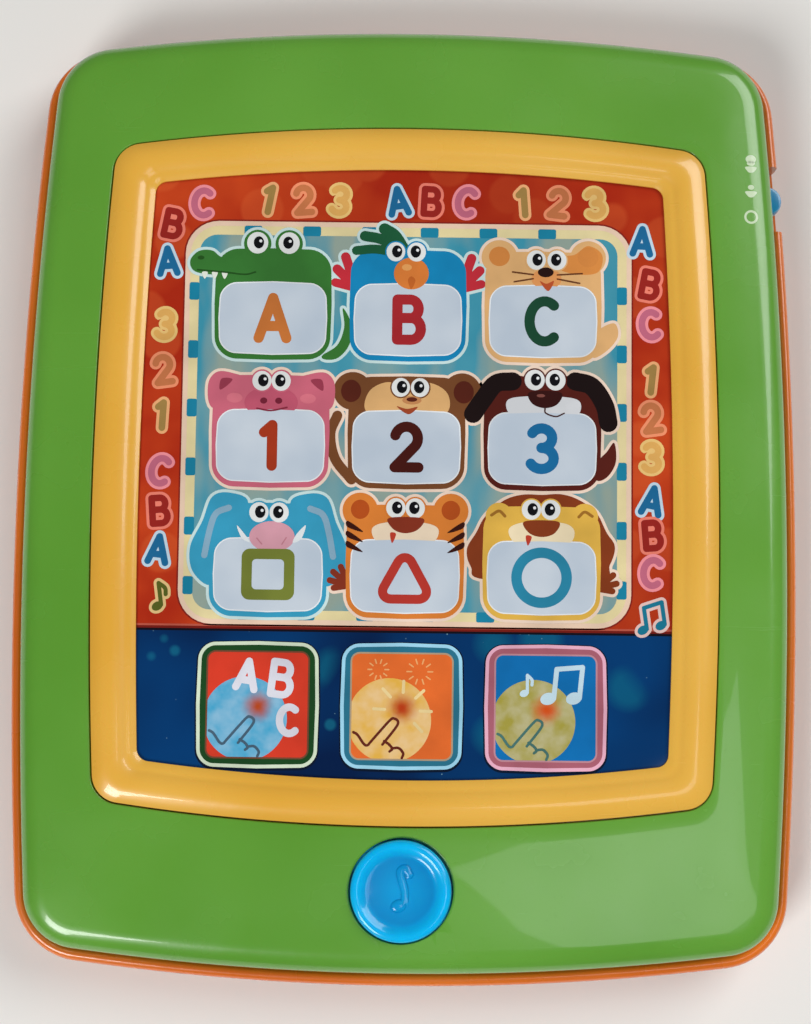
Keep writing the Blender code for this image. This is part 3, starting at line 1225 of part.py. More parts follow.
def build_wiring():
    """Each route's points are in millimetres from its own start or end, so it moves with what it joins."""
    tab_x = BAY_HALF_X + BAY_WALL + CONTACT_TAB_LENGTH + WIRE_RADIUS
    tab_z = CONTACT_TAB_Z + CONTACT_THICKNESS / 2
    end_z = ON_BOARD_Z + GAP
    for name, finish, y, lane, landing in (
        ("battery_wire_red", RED, CELL_YS[0], 5.5, 9.0),
        ("battery_wire_black", BLACK, CELL_YS[1], 8.0, 5.5),
    ):
        lane_x = tab_x + lane * MM
        land_x = BOARD_HALF_WIDTH - landing * MM
        route = [
            (tab_x, y, tab_z),
            (tab_x + 0.5 * lane * MM, y, tab_z - 0.5 * MM),
            (lane_x, y - 6 * MM, 9 * MM),
            (lane_x, y - 18 * MM, 6 * MM),
            (lane_x, SPEAKER_Y, 5.5 * MM),
            (lane_x, BOARD_HIGH_Y + 12 * MM, 7 * MM),
            (lane_x - 3 * MM, BOARD_HIGH_Y + 6 * MM, end_z - 4.2 * MM),
            (land_x + 3 * MM, BOARD_HIGH_Y + 2 * MM, end_z + 0.6 * MM),
            (land_x, BOARD_HIGH_Y - 2 * MM, end_z + 1.2 * MM),
            (land_x, BOARD_HIGH_Y - 2.3 * MM, end_z),
        ]
        wire(name, finish, WIRE_RADIUS, route)
    for name, finish, x in (("speaker_wire_red", RED, 9.5), ("speaker_wire_black", BLACK, 12.5)):
        start_y = SPEAKER_Y - math.sqrt((SPEAKER_RADIUS - 1 * MM) ** 2 - (x * MM) ** 2)
        start_z = CLAMP_Z + CLAMP_THICKNESS + 2 * GAP
        route = [
            (x * MM, start_y, start_z),
            (x * MM, start_y, start_z + 2 * MM),
            (x * MM, start_y - 3 * MM, start_z + 4 * MM),
            (x * MM, BOARD_HIGH_Y + 3 * MM, end_z - 0.7 * MM),
            (x * MM, BOARD_HIGH_Y, end_z + 1.1 * MM),
            (x * MM, BOARD_HIGH_Y - 3 * MM, end_z + 1.2 * MM),
            (x * MM, BOARD_HIGH_Y - 3.3 * MM, end_z),
        ]
        wire(name, finish, WIRE_RADIUS, route)
    start_x = SWITCH_BOARD_X - SWITCH_BOARD_THICKNESS - 2 * GAP
    lane_x = tab_x + 13.5 * MM
    edge_x = BOARD_HALF_WIDTH
    landing_y = BOARD_HIGH_Y - 17 * MM
    route = [
        (start_x, SLIDER_Y, 9 * MM),
        (start_x - 4 * MM, SLIDER_Y - 1 * MM, 8 * MM),
        (start_x - 10 * MM, SLIDER_Y - 7 * MM, 5.5 * MM),
        (lane_x, SLIDER_Y - 26 * MM, 5 * MM),
        (lane_x, BAY_LOW_Y, 5 * MM),
        (lane_x, SPEAKER_Y, 5 * MM),
        (lane_x, BOARD_HIGH_Y, 6 * MM),
        (lane_x - 2 * MM, landing_y + 4 * MM, end_z - 6.2 * MM),
        (edge_x + 4 * MM, landing_y, end_z - 0.2 * MM),
        (edge_x, landing_y, end_z + 1.8 * MM),
        (edge_x - 3 * MM, landing_y, end_z + 2 * MM),
        (edge_x - 3.3 * MM, landing_y, end_z),
    ]
    wire("switch_cable", GREY, SWITCH_CABLE_RADIUS, route)


for left_over in list(bpy.data.objects):
    bpy.data.objects.remove(left_over)

GREEN = material("green_shell", (0.13, 0.36, 0.05), 0.3)
ORANGE = material("orange_shell", (0.90, 0.25, 0.03), 0.35)
YELLOW = material("yellow_bezel", (0.95, 0.55, 0.05), 0.3)
CYAN = material("cyan_button", (0.0, 0.35, 0.65), 0.15, transmission=0.4)
PRINT = material("printed_sheet", (0.7, 0.15, 0.05), 0.2)
FILM = material("clear_film", (0.8, 0.82, 0.8), 0.3)
GREY = material("grey_plastic", (0.5, 0.5, 0.5), 0.5)
WHITE = material("white_plastic", (0.85, 0.84, 0.8), 0.5)
BLACK = material("black_plastic", (0.02, 0.02, 0.02), 0.5)
SILICONE = material("silicone", (0.75, 0.75, 0.72), 0.6)
BOARD_GREEN = material("circuit_board", (0.35, 0.25, 0.1), 0.5)
BLUE_SLEEVE = material("capacitor_sleeve", (0.05, 0.1, 0.35), 0.4)
STEEL = material("plated_steel", (0.6, 0.6, 0.6), 0.35, metallic=1.0)
DARK_STEEL = material("magnet_steel", (0.25, 0.25, 0.26), 0.45, metallic=1.0)
NICKEL = material("nickel", (0.75, 0.74, 0.7), 0.25, metallic=1.0)
PAPER = material("speaker_paper", (0.03, 0.03, 0.03), 0.9)
BATTERY = material("battery_jacket", (0.1, 0.1, 0.12), 0.35)
RED = material("red_wire", (0.6, 0.02, 0.02), 0.45)

build_rear_shell()
build_front_shell()
build_bezel()
build_picture()
build_home_button()
build_main_board()
build_speaker()
build_batteries()
build_battery_door()
build_volume_slider()
build_case_screws()
build_wiring()
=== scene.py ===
# Toy learning tablet: the finished looks of every piece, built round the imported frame.
# Shapes are worked out in millimetres, and each piece is scaled to metres as it is finished.
import math

import bmesh
import bpy
from mathutils import Matrix, Vector
from mathutils.bvhtree import BVHTree


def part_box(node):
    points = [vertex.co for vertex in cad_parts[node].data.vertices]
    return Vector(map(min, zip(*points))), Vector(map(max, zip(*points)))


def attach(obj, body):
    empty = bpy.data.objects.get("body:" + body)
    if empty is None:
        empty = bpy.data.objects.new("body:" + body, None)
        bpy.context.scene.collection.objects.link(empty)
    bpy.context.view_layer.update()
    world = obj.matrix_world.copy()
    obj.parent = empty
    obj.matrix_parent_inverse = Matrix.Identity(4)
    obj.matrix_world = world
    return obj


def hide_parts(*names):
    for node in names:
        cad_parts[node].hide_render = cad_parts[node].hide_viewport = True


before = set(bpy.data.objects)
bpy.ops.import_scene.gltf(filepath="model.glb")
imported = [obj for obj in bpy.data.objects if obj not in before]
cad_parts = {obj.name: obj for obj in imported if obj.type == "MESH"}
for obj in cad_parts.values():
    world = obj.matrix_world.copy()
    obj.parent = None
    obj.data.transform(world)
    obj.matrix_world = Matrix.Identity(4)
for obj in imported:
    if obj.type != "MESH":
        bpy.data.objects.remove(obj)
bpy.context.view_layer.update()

mm = 0.001
fineSteps = {"side": 36, "corner": 14, "end": 18}


def cornersOf(node):
    low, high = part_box(node)
    return low / mm, high / mm


def middleOf(node):
    low, high = cornersOf(node)
    return (low.x + high.x) / 2, (low.y + high.y) / 2


# outlines: shallow arcs for the sides, joined by fillets

rearLow, rearHigh = cornersOf("rear_shell")
frontLow, frontHigh = cornersOf("front_shell")
bezelLow, bezelHigh = cornersOf("screen_bezel")
sheetLow, sheetHigh = cornersOf("picture_sheet")
bezelFlange = 1.2
sheetMargin = 2.2  # how far the sheet runs on under the bezel's lip

rearOutline = {"halfWidth": rearHigh.x, "top": rearHigh.y, "bottom": rearLow.y, "widestY": -15,
               "sideArc": 1240, "topArc": 570, "bottomArc": 600, "topCorner": 16, "bottomCorner": 17}
frontOutline = {"halfWidth": frontHigh.x, "top": frontHigh.y, "bottom": frontLow.y, "widestY": -15,
                "sideArc": 1236.75, "topArc": 570, "bottomArc": 600, "topCorner": 14.6, "bottomCorner": 13.4}
bezelOutline = {"halfWidth": bezelHigh.x - bezelFlange, "top": bezelHigh.y - bezelFlange, "bottom": bezelLow.y
                + bezelFlange, "widestY": -5, "sideArc": 1114, "topArc": 480, "bottomArc": 480,
                "topCorner": 6.8, "bottomCorner": 6.8}
screenOutline = {"halfWidth": sheetHigh.x - sheetMargin, "top": sheetHigh.y - sheetMargin,
                 "bottom": sheetLow.y + sheetMargin, "widestY": -5, "sideArc": 1300, "topArc": 480,
                 "bottomArc": 480, "topCorner": 3, "bottomCorner": 3}


def grown(shape, by):
    bigger = dict(shape)
    for key in ("halfWidth", "top", "sideArc", "topArc", "bottomArc"):
        bigger[key] += by
    bigger["bottom"] -= by
    for key in ("topCorner", "bottomCorner"):
        bigger[key] = max(bigger[key] + by, 0.8)
    return bigger


def halfWidthAt(shape, y):
    away = y - shape["widestY"]
    return shape["halfWidth"] - shape["sideArc"] + math.sqrt(shape["sideArc"] ** 2 - away**2)


def arcPoints(centre, radius, start, end, steps):
    turns = [start + (end - start) * step / steps for step in range(steps + 1)]
    return [centre + radius * Vector((math.cos(turn), math.sin(turn))) for turn in turns]


def wayAt(degrees):
    return Vector((math.cos(math.radians(degrees)), math.sin(math.radians(degrees))))


def heading(direction):
    return math.atan2(direction.y, direction.x)


def filletOf(shape, endArc, radius, sideCentre, endCentre, upwards):
    fromSide, fromEnd = shape["sideArc"] - radius, endArc - radius
    apart = (endCentre - sideCentre).length
    along = (fromSide**2 - fromEnd**2 + apart**2) / (2 * apart)
    across = math.sqrt(fromSide**2 - along**2)
    forward = (endCentre - sideCentre) / apart
    sideways = Vector((-forward.y, forward.x))
    choices = [sideCentre + forward * along + sideways * across * sign for sign in (1, -1)]
    return max(choices, key=lambda centre: centre.y * upwards)


def outlinePoints(shape, steps=fineSteps):
    side = Vector((shape["halfWidth"] - shape["sideArc"], shape["widestY"]))
    top = Vector((0, shape["top"] - shape["topArc"]))
    bottom = Vector((0, shape["bottom"] + shape["bottomArc"]))
    low = filletOf(shape, shape["bottomArc"], shape["bottomCorner"], side, bottom, -1)
    high = filletOf(shape, shape["topArc"], shape["topCorner"], side, top, 1)
    lowEnd, lowSide = heading(low - bottom), heading(low - side)
    highSide, highEnd = heading(high - side), heading(high - top)
    right = arcPoints(bottom, shape["bottomArc"], -math.pi / 2, lowEnd, steps["end"])
    right += arcPoints(low, shape["bottomCorner"], lowEnd, lowSide, steps["corner"])[1:]
    right += arcPoints(side, shape["sideArc"], lowSide, highSide, steps["side"])[1:]
    right += arcPoints(high, shape["topCorner"], highSide, highEnd, steps["corner"])[1:]
    right += arcPoints(top, shape["topArc"], highEnd, math.pi / 2, steps["end"])[1:]
    return right + [Vector((-point.x, point.y)) for point in reversed(right[1:-1])]


def raised(points, z):
    return [Vector((point[0], point[1], z)) for point in points]


def outlineAt(shape, z):
    return raised(outlinePoints(shape), z)


def between(first, second, share, z):
    pairs = zip(outlineAt(first, z), outlineAt(second, z))
    return [a.lerp(b, share) for a, b in pairs]


# mesh helpers

def startLoop(bm, points):
    made = bmesh.ops.create_circle(bm, segments=len(points), radius=1)["verts"]
    for vert, point in zip(made, points):
        vert.co = point
    return made


def loopEdges(bm, loop):
    return [bm.edges.get((a, b)) for a, b in zip(loop, loop[1:] + loop[:1])]


def fillLoop(bm, loop):
    return bmesh.ops.edgenet_fill(bm, edges=loopEdges(bm, loop))["faces"]


def extrudeLoop(bm, loop, points):
    grownGeometry = bmesh.ops.extrude_edge_only(bm, edges=loopEdges(bm, loop))["geom"]
    fresh = {item for item in grownGeometry if isinstance(item, bmesh.types.BMVert)}
    following = []
    for vert, point in zip(loop, points):
        partner = next(edge.other_vert(vert) for edge in vert.link_edges if edge.other_vert(vert) in fresh)
        partner.co = point
        following.append(partner)
    return following


def skin(levels, closed=False):
    # extrudes one outline through all the levels, then caps both ends or joins the last to the first
    bm = bmesh.new()
    first = startLoop(bm, levels[0])
    loop = first
    for points in levels[1:]:
        loop = extrudeLoop(bm, loop, points)
    if closed:
        extrudeLoop(bm, loop, levels[0])
        bmesh.ops.remove_doubles(bm, verts=bm.verts, dist=1e-4)
    else:
        fillLoop(bm, first)
        fillLoop(bm, loop)
    bmesh.ops.recalc_face_normals(bm, faces=bm.faces)
    return bm


def spun(centre, profile, steps=64):
    # turns (radius, z) points round an upright axis
    bm = bmesh.new()
    verts = [bm.verts.new((radius, 0, z)) for radius, z in profile]
    for pair in zip(verts, verts[1:]):
        bm.edges.new(pair)
    if profile[0][0] > 0:
        bm.edges.new((verts[-1], verts[0]))
    bmesh.ops.spin(bm, geom=bm.verts[:] + bm.edges[:], cent=(0, 0, 0), axis=(0, 0, 1),
                   angle=math.tau, steps=steps, use_merge=True)
    bmesh.ops.remove_doubles(bm, verts=bm.verts, dist=1e-5)
    bmesh.ops.recalc_face_normals(bm, faces=bm.faces)
    bmesh.ops.translate(bm, verts=bm.verts, vec=(centre[0], centre[1], 0))
    return bm


def disc(radius, z):
    # the start of a profile: its middle and its edge
    return [(0, z), (radius, z)]


def rod(centre, radius, lowZ, topZ, steps=24):
    return spun(centre, disc(radius, lowZ) + disc(radius, topZ)[::-1], steps)


def block(low, high, rounding=0, segments=3):
    low, high = Vector(low), Vector(high)
    bm = bmesh.new()
    bmesh.ops.create_cube(bm, size=1)
    bmesh.ops.scale(bm, verts=bm.verts, vec=high - low)
    bmesh.ops.translate(bm, verts=bm.verts, vec=(low + high) / 2)
    if rounding:
        bmesh.ops.bevel(bm, geom=bm.edges[:], offset=rounding, affect="EDGES", segments=segments,
                        profile=0.5, material=-1)
    return bm


def merged(*parts):
    whole = bmesh.new()
    for part in parts:
        passing = bpy.data.meshes.new("passing")
        part.to_mesh(passing)
        part.free()
        whole.from_mesh(passing)
        bpy.data.meshes.remove(passing)
    return whole


def combined(base, tool, operation):
    pair = []
    for bm in (base, tool):
        mesh = bpy.data.meshes.new("working")
        bm.to_mesh(mesh)
        bm.free()
        pair.append(bpy.data.objects.new("working", mesh))
        bpy.context.scene.collection.objects.link(pair[-1])
    change = pair[0].modifiers.new("change", "BOOLEAN")
    change.operation = operation
    change.object = pair[1]
    change.solver = "EXACT"
    result = bmesh.new()
    result.from_object(pair[0], bpy.context.evaluated_depsgraph_get())
    for piece in pair:
        mesh = piece.data
        bpy.data.objects.remove(piece)
        bpy.data.meshes.remove(mesh)
    return result


def cut(base, *tools):
    return combined(base, merged(*tools), "DIFFERENCE")


def join(base, *tools):
    return combined(base, merged(*tools), "UNION")


def finishPiece(name, bm, body, materials, replaced=(), sharpAngle=32):
    bmesh.ops.scale(bm, verts=bm.verts, vec=(mm, mm, mm))
    mesh = bpy.data.meshes.new(name)
    bm.to_mesh(mesh)
    bm.free()
    mesh.shade_smooth()
    mesh.set_sharp_from_angle(angle=math.radians(sharpAngle))
    for material in materials:
        mesh.materials.append(material)
    piece = bpy.data.objects.new(name, mesh)
    bpy.context.scene.collection.objects.link(piece)
    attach(piece, body)
    if replaced:
        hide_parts(*replaced)
    return piece


# materials

def paint(code):
    # an sRGB hex code as the linear colour that a shader takes
    values = [int(code[i:i + 2], 16) / 255 for i in (0, 2, 4)]
    return tuple(v / 12.92 if v <= 0.04045 else ((v + 0.055) / 1.055) ** 2.4 for v in values) + (1.0,)


def addNode(material, kind, links=(), **settings):
    # settings name either an input or a property, and links pair an input with the socket that feeds it
    node = material.node_tree.nodes.new("ShaderNode" + kind)
    for key, value in settings.items():
        if hasattr(node, key):
            setattr(node, key, value)
        else:
            node.inputs[key.replace("_", " ")].default_value = value
    for target, source in links:
        material.node_tree.links.new(source, node.inputs[target])
    return node


def startMaterial(name, **shaderValues):
    material = bpy.data.materials.new(name)
    material.use_nodes = True
    shader = material.node_tree.nodes["Principled BSDF"]
    for key, value in shaderValues.items():
        shader.inputs[key.replace("_", " ")].default_value = value
    spot = addNode(material, "TexCoord").outputs["Object"]
    return material, shader, spot


def feed(material, shader, **sockets):
    for key, socket in sockets.items():
        material.node_tree.links.new(socket, shader.inputs[key.replace("_", " ")])


def noise(material, spot, scale, detail=3, roughness=0.5):
    return addNode(material, "TexNoise", [("Vector", spot)], Scale=scale, Detail=detail,
                   Roughness=roughness).outputs["Fac"]


def spread(material, value, low, high, toLow=0.0, toHigh=1.0):
    return addNode(material, "MapRange", [("Value", value)], From_Min=low, From_Max=high,
                   To_Min=toLow, To_Max=toHigh).outputs["Result"]


def blendColours(material, factor, first, second, mode="MIX"):
    node = addNode(material, "Mix", data_type="RGBA", blend_type=mode)
    for index, source in ((0, factor), (6, first), (7, second)):
        if isinstance(source, bpy.types.NodeSocket):
            material.node_tree.links.new(source, node.inputs[index])
        else:
            node.inputs[index].default_value = source
    return node.outputs[2]


def bumpFrom(material, height, strength, distance, normal=None):
    links = [("Height", height)] + ([("Normal", normal)] if normal else [])
    return addNode(material, "Bump", links, Strength=strength, Distance=distance).outputs["Normal"]


def drifting(material, spot, grain, ends, dark, light):
    # a slow change from one colour to the other; grain is the noise's scale and detail
    return blendColours(material, spread(material, noise(material, spot, *grain), *ends), paint(dark),
                        paint(light))


def mouldedPlastic(name, light, dark, roughness, grain=0.05, coat=0.5, glow=0.04):
    # tinted resin: slow colour drift, fine moulding grain, rubbed patches and hairline scratches
    material, shader, spot = startMaterial(
        name, Coat_Weight=coat, Coat_Roughness=0.03, Subsurface_Weight=glow, Subsurface_Scale=0.004)
    flecks = spread(material, noise(material, spot, 900, 2), 0.62, 0.75, 0, 0.25)
    base = drifting(material, spot, (14, 2), (0.35, 0.65), dark, light)
    base = blendColours(material, flecks, base, paint(dark))
    stretched = addNode(material, "Mapping", [("Vector", spot)], Rotation=(0, 0, 0.6), Scale=(14, 500, 60))
    scratches = spread(material, noise(material, stretched.outputs["Vector"], 1, 5, 0.7), 0.66, 0.72)
    rubbed = spread(material, noise(material, spot, 45, 4), 0.3, 0.7, roughness - 0.05, roughness + 0.07)
    rough = addNode(material, "Math", operation="MULTIPLY_ADD")
    rough.inputs[1].default_value = 0.12
    material.node_tree.links.new(scratches, rough.inputs[0])
    material.node_tree.links.new(rubbed, rough.inputs[2])
    peel = bumpFrom(material, noise(material, spot, 260, 2), grain, 0.0004)
    normal = bumpFrom(material, scratches, 0.02, 0.0001, peel)
    feed(material, shader, Base_Color=base, Roughness=rough.outputs[0], Normal=normal)
    return material


def startInk(name):
    # print under a clear film: dull below, with a glossy coat
    return startMaterial(name, Roughness=0.6, Specular_IOR_Level=0.02, Coat_Weight=0.45, Coat_Roughness=0.04)


def feedRippled(material, shader, spot, base):
    ripple = bumpFrom(material, noise(material, spot, 30, 1), 0.03, 0.0008)
    feed(material, shader, Base_Color=base, Coat_Normal=ripple)
    return material


def glossyInk(name, light, dark):
    # faint mottling and a fine dot screen
    material, shader, spot = startInk(name)
    base = drifting(material, spot, (70, 3), (0.35, 0.65), dark, light)
    screenDots = addNode(material, "TexVoronoi", [("Vector", spot)], Scale=3200).outputs["Distance"]
    dots = spread(material, screenDots, 0.3, 0.5, 0, 0.1)
    base = blendColours(material, dots, base, paint(dark))
    return feedRippled(material, shader, spot, base)


def metal(name, light, dark, roughness, brushed=0):
    material, shader, spot = startMaterial(name, Metallic=1.0)
    if brushed:
        spot = addNode(material, "Mapping", [("Vector", spot)], Scale=(1, brushed, 1)).outputs["Vector"]
    rough = spread(material, noise(material, spot, 400, 3), 0.3, 0.7, roughness - 0.08, roughness + 0.1)
    base = drifting(material, spot, (180, 4, 0.6), (0.3, 0.7), dark, light)
    normal = bumpFrom(material, noise(material, spot, 700, 3), 0.08, 0.0001)
    feed(material, shader, Base_Color=base, Roughness=rough, Normal=normal)
    return material


def dullPlastic(name, light, dark, roughness, grain=0.12):
    material, shader, spot = startMaterial(name)
    rough = spread(material, noise(material, spot, 90, 3), 0.3, 0.7, roughness - 0.06, roughness + 0.08)
    base = drifting(material, spot, (60, 3), (0.3, 0.7), dark, light)
    normal = bumpFrom(material, noise(material, spot, 1400, 3), grain, 0.0001)
    feed(material, shader, Base_Color=base, Roughness=rough, Normal=normal)
    return material


greenPlastic = mouldedPlastic("greenPlastic", "66a438", "5a982c", 0.24)
orangePlastic = mouldedPlastic("orangePlastic", "ec7a22", "de6a16", 0.26)
yellowPlastic = mouldedPlastic("yellowPlastic", "efb84a", "e6aa38", 0.26)

# green front shell

frontSettings = {"edgeSpan": 6.0, "edgeRise": 5.0, "edgeZ": 24.0, "seamZ": 24.45, "swell": 0.15, "wall": 2.2,
                 "seam": 0.35, "seamRounding": 0.35, "edgeLevels": 9, "faceLevels": 7, "holeRounding": 0.5,
                 "bossLowZ": 13.1, "bossFoot": 3.6, "bossRoot": 3.4, "pilotLowZ": 12.5, "pilotRadius": 1.7,
                 "pilotPast": 0.3, "holeLowZ": 20.9}


def buildFrontShell(s):
    opening = grown(bezelOutline, s["seam"])
    faceEdge = grown(frontOutline, -s["edgeSpan"])
    lowZ = frontLow.z + 0.9
    edgeStartZ = s["edgeZ"] - s["edgeRise"]
    levels = [outlineAt(grown(frontOutline, -0.4), frontLow.z + 0.5)]
    levels.append(outlineAt(frontOutline, lowZ))
    for step in range(s["edgeLevels"] + 1):
        turn = math.pi / 2 * step / s["edgeLevels"]
        inset = s["edgeSpan"] * (1 - math.cos(turn))
        levels.append(outlineAt(grown(frontOutline, -inset), edgeStartZ + s["edgeRise"] * math.sin(turn)))
    rise = s["seamZ"] - s["edgeZ"]
    for step in range(1, s["faceLevels"]):
        share = step / s["faceLevels"]
        z = s["edgeZ"] + rise * share + s["swell"] * math.sin(math.pi * share)
        levels.append(between(faceEdge, opening, share, z))
    for step in range(4):
        turn = math.pi / 2 * step / 3
        outline = grown(opening, s["seamRounding"] * (1 - math.sin(turn)))
        levels.append(outlineAt(outline, s["seamZ"] - s["seamRounding"] * (1 - math.cos(turn))))
    underZ = s["seamZ"] - s["wall"]
    levels.append(outlineAt(opening, underZ))
    levels.append(between(faceEdge, opening, 0.5, s["edgeZ"] - s["wall"] + s["swell"]))
    for step in range(4):
        turn = math.pi / 2 * (1 - step / 3)
        inset = s["wall"] + (s["edgeSpan"] - s["wall"] / 2) * (1 - math.cos(turn))
        z = edgeStartZ + (s["edgeRise"] - s["wall"]) * math.sin(turn)
        levels.append(outlineAt(grown(frontOutline, -inset), z))
    levels.append(outlineAt(grown(frontOutline, -s["wall"]), frontLow.z + 0.8))
    shell = skin(levels, closed=True)

    # bosses for the case screws, the button's hole with its softened edge, and the screws' pilot holes
    bosses, pilots = [], []
    for screw in caseScrews:
        place, topZ = screwPlace(screw)
        bosses.append(spun(place, [*disc(s["bossFoot"], s["bossLowZ"]),
                                   *disc(s["bossRoot"], s["edgeZ"] - s["wall"] / 2)[::-1]], 24))
        pilots.append(rod(place, s["pilotRadius"], s["pilotLowZ"], topZ + s["pilotPast"]))
    shell = join(shell, *bosses)
    holeRadius, soft = buttonSettings["holeRadius"], s["holeRounding"]
    flare = disc(holeRadius, s["holeLowZ"])
    for step in range(6):
        turn = math.pi / 2 * step / 5
        flare.append((holeRadius + soft * (1 - math.cos(turn)), buttonFaceZ - soft + soft * math.sin(turn)))
    flare += [(holeRadius + soft, buttonFaceZ + 3), (0, buttonFaceZ + 3)]
    shell = cut(shell, spun(buttonPlace, flare, 96), *pilots)
    return finishPiece("frontShell", shell, "casing", [greenPlastic], ["front_shell"])


caseScrews = [f"case_screw_{index}" for index in range(1, 7)]
buttonLow, buttonHigh = cornersOf("home_button_cap")
buttonPlace = middleOf("home_button_cap")
buttonFaceZ = 24.2  # the green face beside the button
buttonSettings = {"holeRadius": 12.25, "radius": 11.85, "topZ": buttonHigh.z, "dish": 1.0, "rimWidth": 2.6,
                  "rimRounding": 1.1, "flangeLowZ": 19.6, "flangeTopZ": 21.2, "flangeRadius": 13.4,
                  "skin": 1.8, "postRadius": 3.2, "noteHeight": 10.5, "noteSink": 0.4, "noteRise": 0.55}


def screwPlace(node):
    return middleOf(node), cornersOf(node)[1].z


frontShell = buildFrontShell(frontSettings)
print("front shell done")

# yellow bezel

bezelSettings = {"edgeZ": 25.0, "crown": 1.5, "peak": 0.55, "lipStart": 0.77, "lipEdgeZ": 24.7,
                 "lipUnderZ": 24.3, "wall": 1.8, "crownLevels": 14, "lipLevels": 5, "footRounding": 0.4,
                 "firstShare": 0.004, "lastShare": 0.995, "well": 2.5, "under": 0.3}


def buildBezel(s):
    levels = [outlineAt(bezelOutline, s["edgeZ"] - s["footRounding"])]
    for step in range(s["crownLevels"] + 1):
        share = step / s["crownLevels"]
        rise = 1 - ((share - s["peak"]) / s["peak"]) ** 2
        z = s["edgeZ"] + s["crown"] * rise
        levels.append(between(bezelOutline, screenOutline,
                              s["firstShare"] + share * (s["lipStart"] - s["firstShare"]), z))
    lipTopZ = s["edgeZ"] + s["crown"] * (1 - ((1 - s["peak"]) / s["peak"]) ** 2)
    for step in range(1, s["lipLevels"] + 1):
        share = step / s["lipLevels"]
        fall = (lipTopZ - s["lipEdgeZ"]) * (0.35 * share + 0.65 * share**2)
        levels.append(between(bezelOutline, screenOutline,
                              s["lipStart"] + (s["lastShare"] - s["lipStart"]) * share, lipTopZ - fall))
    well = grown(screenOutline, s["well"])
    footZ, flangeTopZ = bezelLow.z, frontSettings["seamZ"] - frontSettings["wall"] - 0.3
    flange = grown(bezelOutline, bezelFlange)
    levels += [
        outlineAt(screenOutline, s["lipUnderZ"] + 0.12),
        outlineAt(screenOutline, s["lipUnderZ"]),
        outlineAt(well, s["lipUnderZ"]),
        outlineAt(well, footZ),
        outlineAt(grown(well, s["wall"]), footZ),
        outlineAt(grown(well, s["wall"]), s["lipUnderZ"] - s["under"]),
        outlineAt(grown(bezelOutline, -s["wall"]), s["lipUnderZ"] - s["under"]),
        outlineAt(grown(bezelOutline, -s["wall"]), footZ),
        outlineAt(flange, footZ),
        outlineAt(flange, flangeTopZ),
        outlineAt(bezelOutline, flangeTopZ),
    ]
    bezel = skin(levels, closed=True)
    return finishPiece("screenBezel", bezel, "casing", [yellowPlastic], ["screen_bezel"])


buildBezel(bezelSettings)
print("bezel done")

# home button: a soft round rim, a dished middle and a raised note


def cyanResin():
    # cyan resin with a painted highlight on the rim and painted shade in the dish
    material, shader, spot = startMaterial("cyanResin", Roughness=0.2, Coat_Weight=0.5, Coat_Roughness=0.04,
                                           Specular_IOR_Level=0.2,
                                           Subsurface_Weight=0.25, Subsurface_Scale=0.003, IOR=1.49)
    centred = addNode(material, "Mapping", [("Vector", spot)], Location=(0, -buttonPlace[1] * mm, 0),
                      Scale=(1, 1, 0))
    away = addNode(material, "VectorMath", [(0, centred.outputs["Vector"])],
                   operation="LENGTH").outputs["Value"]
    # painted highlight: the colour brightens over the rim's slope and crest
    rim = spread(material, away, 0.0072, 0.0098)
    rim = addNode(material, "MapRange", [("Value", rim)], interpolation_type="SMOOTHSTEP").outputs["Result"]
    # painted shade: the dish darkens from its middle towards the foot of the rim
    middle = spread(material, away, 0.0, 0.0075)
    inner = blendColours(material, middle, paint("04a4e0"), paint("0088c8"))
    base = blendColours(material, rim, inner, paint("00bcf6"))
    swirl = spread(material, noise(material, spot, 160, 2), 0.4, 0.7, 0, 0.3)
    base = blendColours(material, swirl, base, paint("0896d2"))
    normal = bumpFrom(material, noise(material, spot, 300, 2), 0.04, 0.0003)
    feed(material, shader, Base_Color=base, Normal=normal)
    return material


def buildHomeButton(s):
    radius, topZ, soft = s["radius"], s["topZ"], s["rimRounding"]
    crestRadius = radius - s["rimWidth"] / 2 - 0.1
    profile = [(0, topZ - s["dish"] - 0.05)]
    innerRadius = radius - s["rimWidth"] - 1.2
    for step in range(1, 10):
        share = step / 10
        profile.append((innerRadius * share, topZ - s["dish"] + 0.14 * share**2 - 0.05))
    for step in range(13):
        share = step / 12
        rise = 0.5 - 0.5 * math.cos(math.pi * share)
        profile.append((innerRadius + (crestRadius - innerRadius) * share,
                        topZ - s["dish"] * 0.91 + s["dish"] * 0.91 * rise))
    for step in range(1, 8):
        turn = math.pi / 2 * step / 7
        profile.append((crestRadius + (radius - crestRadius) * math.sin(turn),
                        topZ - soft * (1 - math.cos(turn))))
    flangeLowZ, flangeTopZ = s["flangeLowZ"], s["flangeTopZ"]
    profile += [(radius, flangeTopZ), (s["flangeRadius"] - 0.2, flangeTopZ),
                (s["flangeRadius"], flangeTopZ - 0.2)]
    profile += [(s["flangeRadius"], flangeLowZ), (radius - s["skin"], flangeLowZ)]
    profile += [(radius - s["skin"], topZ - s["dish"] - s["skin"]),
                (s["postRadius"], topZ - s["dish"] - s["skin"]),
                (s["postRadius"], buttonLow.z), (0, buttonLow.z)]
    cap = spun(buttonPlace, profile, 96)
    dishZ = topZ - s["dish"]
    for shape in noteRelief(Vector(buttonPlace), s["noteHeight"], dishZ - s["noteSink"],
                            dishZ + s["noteRise"]):
        cap = join(cap, shape)
    return finishPiece("homeButtonCap", cap, "home_button", [cyanResin()],
                       ["home_button_cap"], 40)


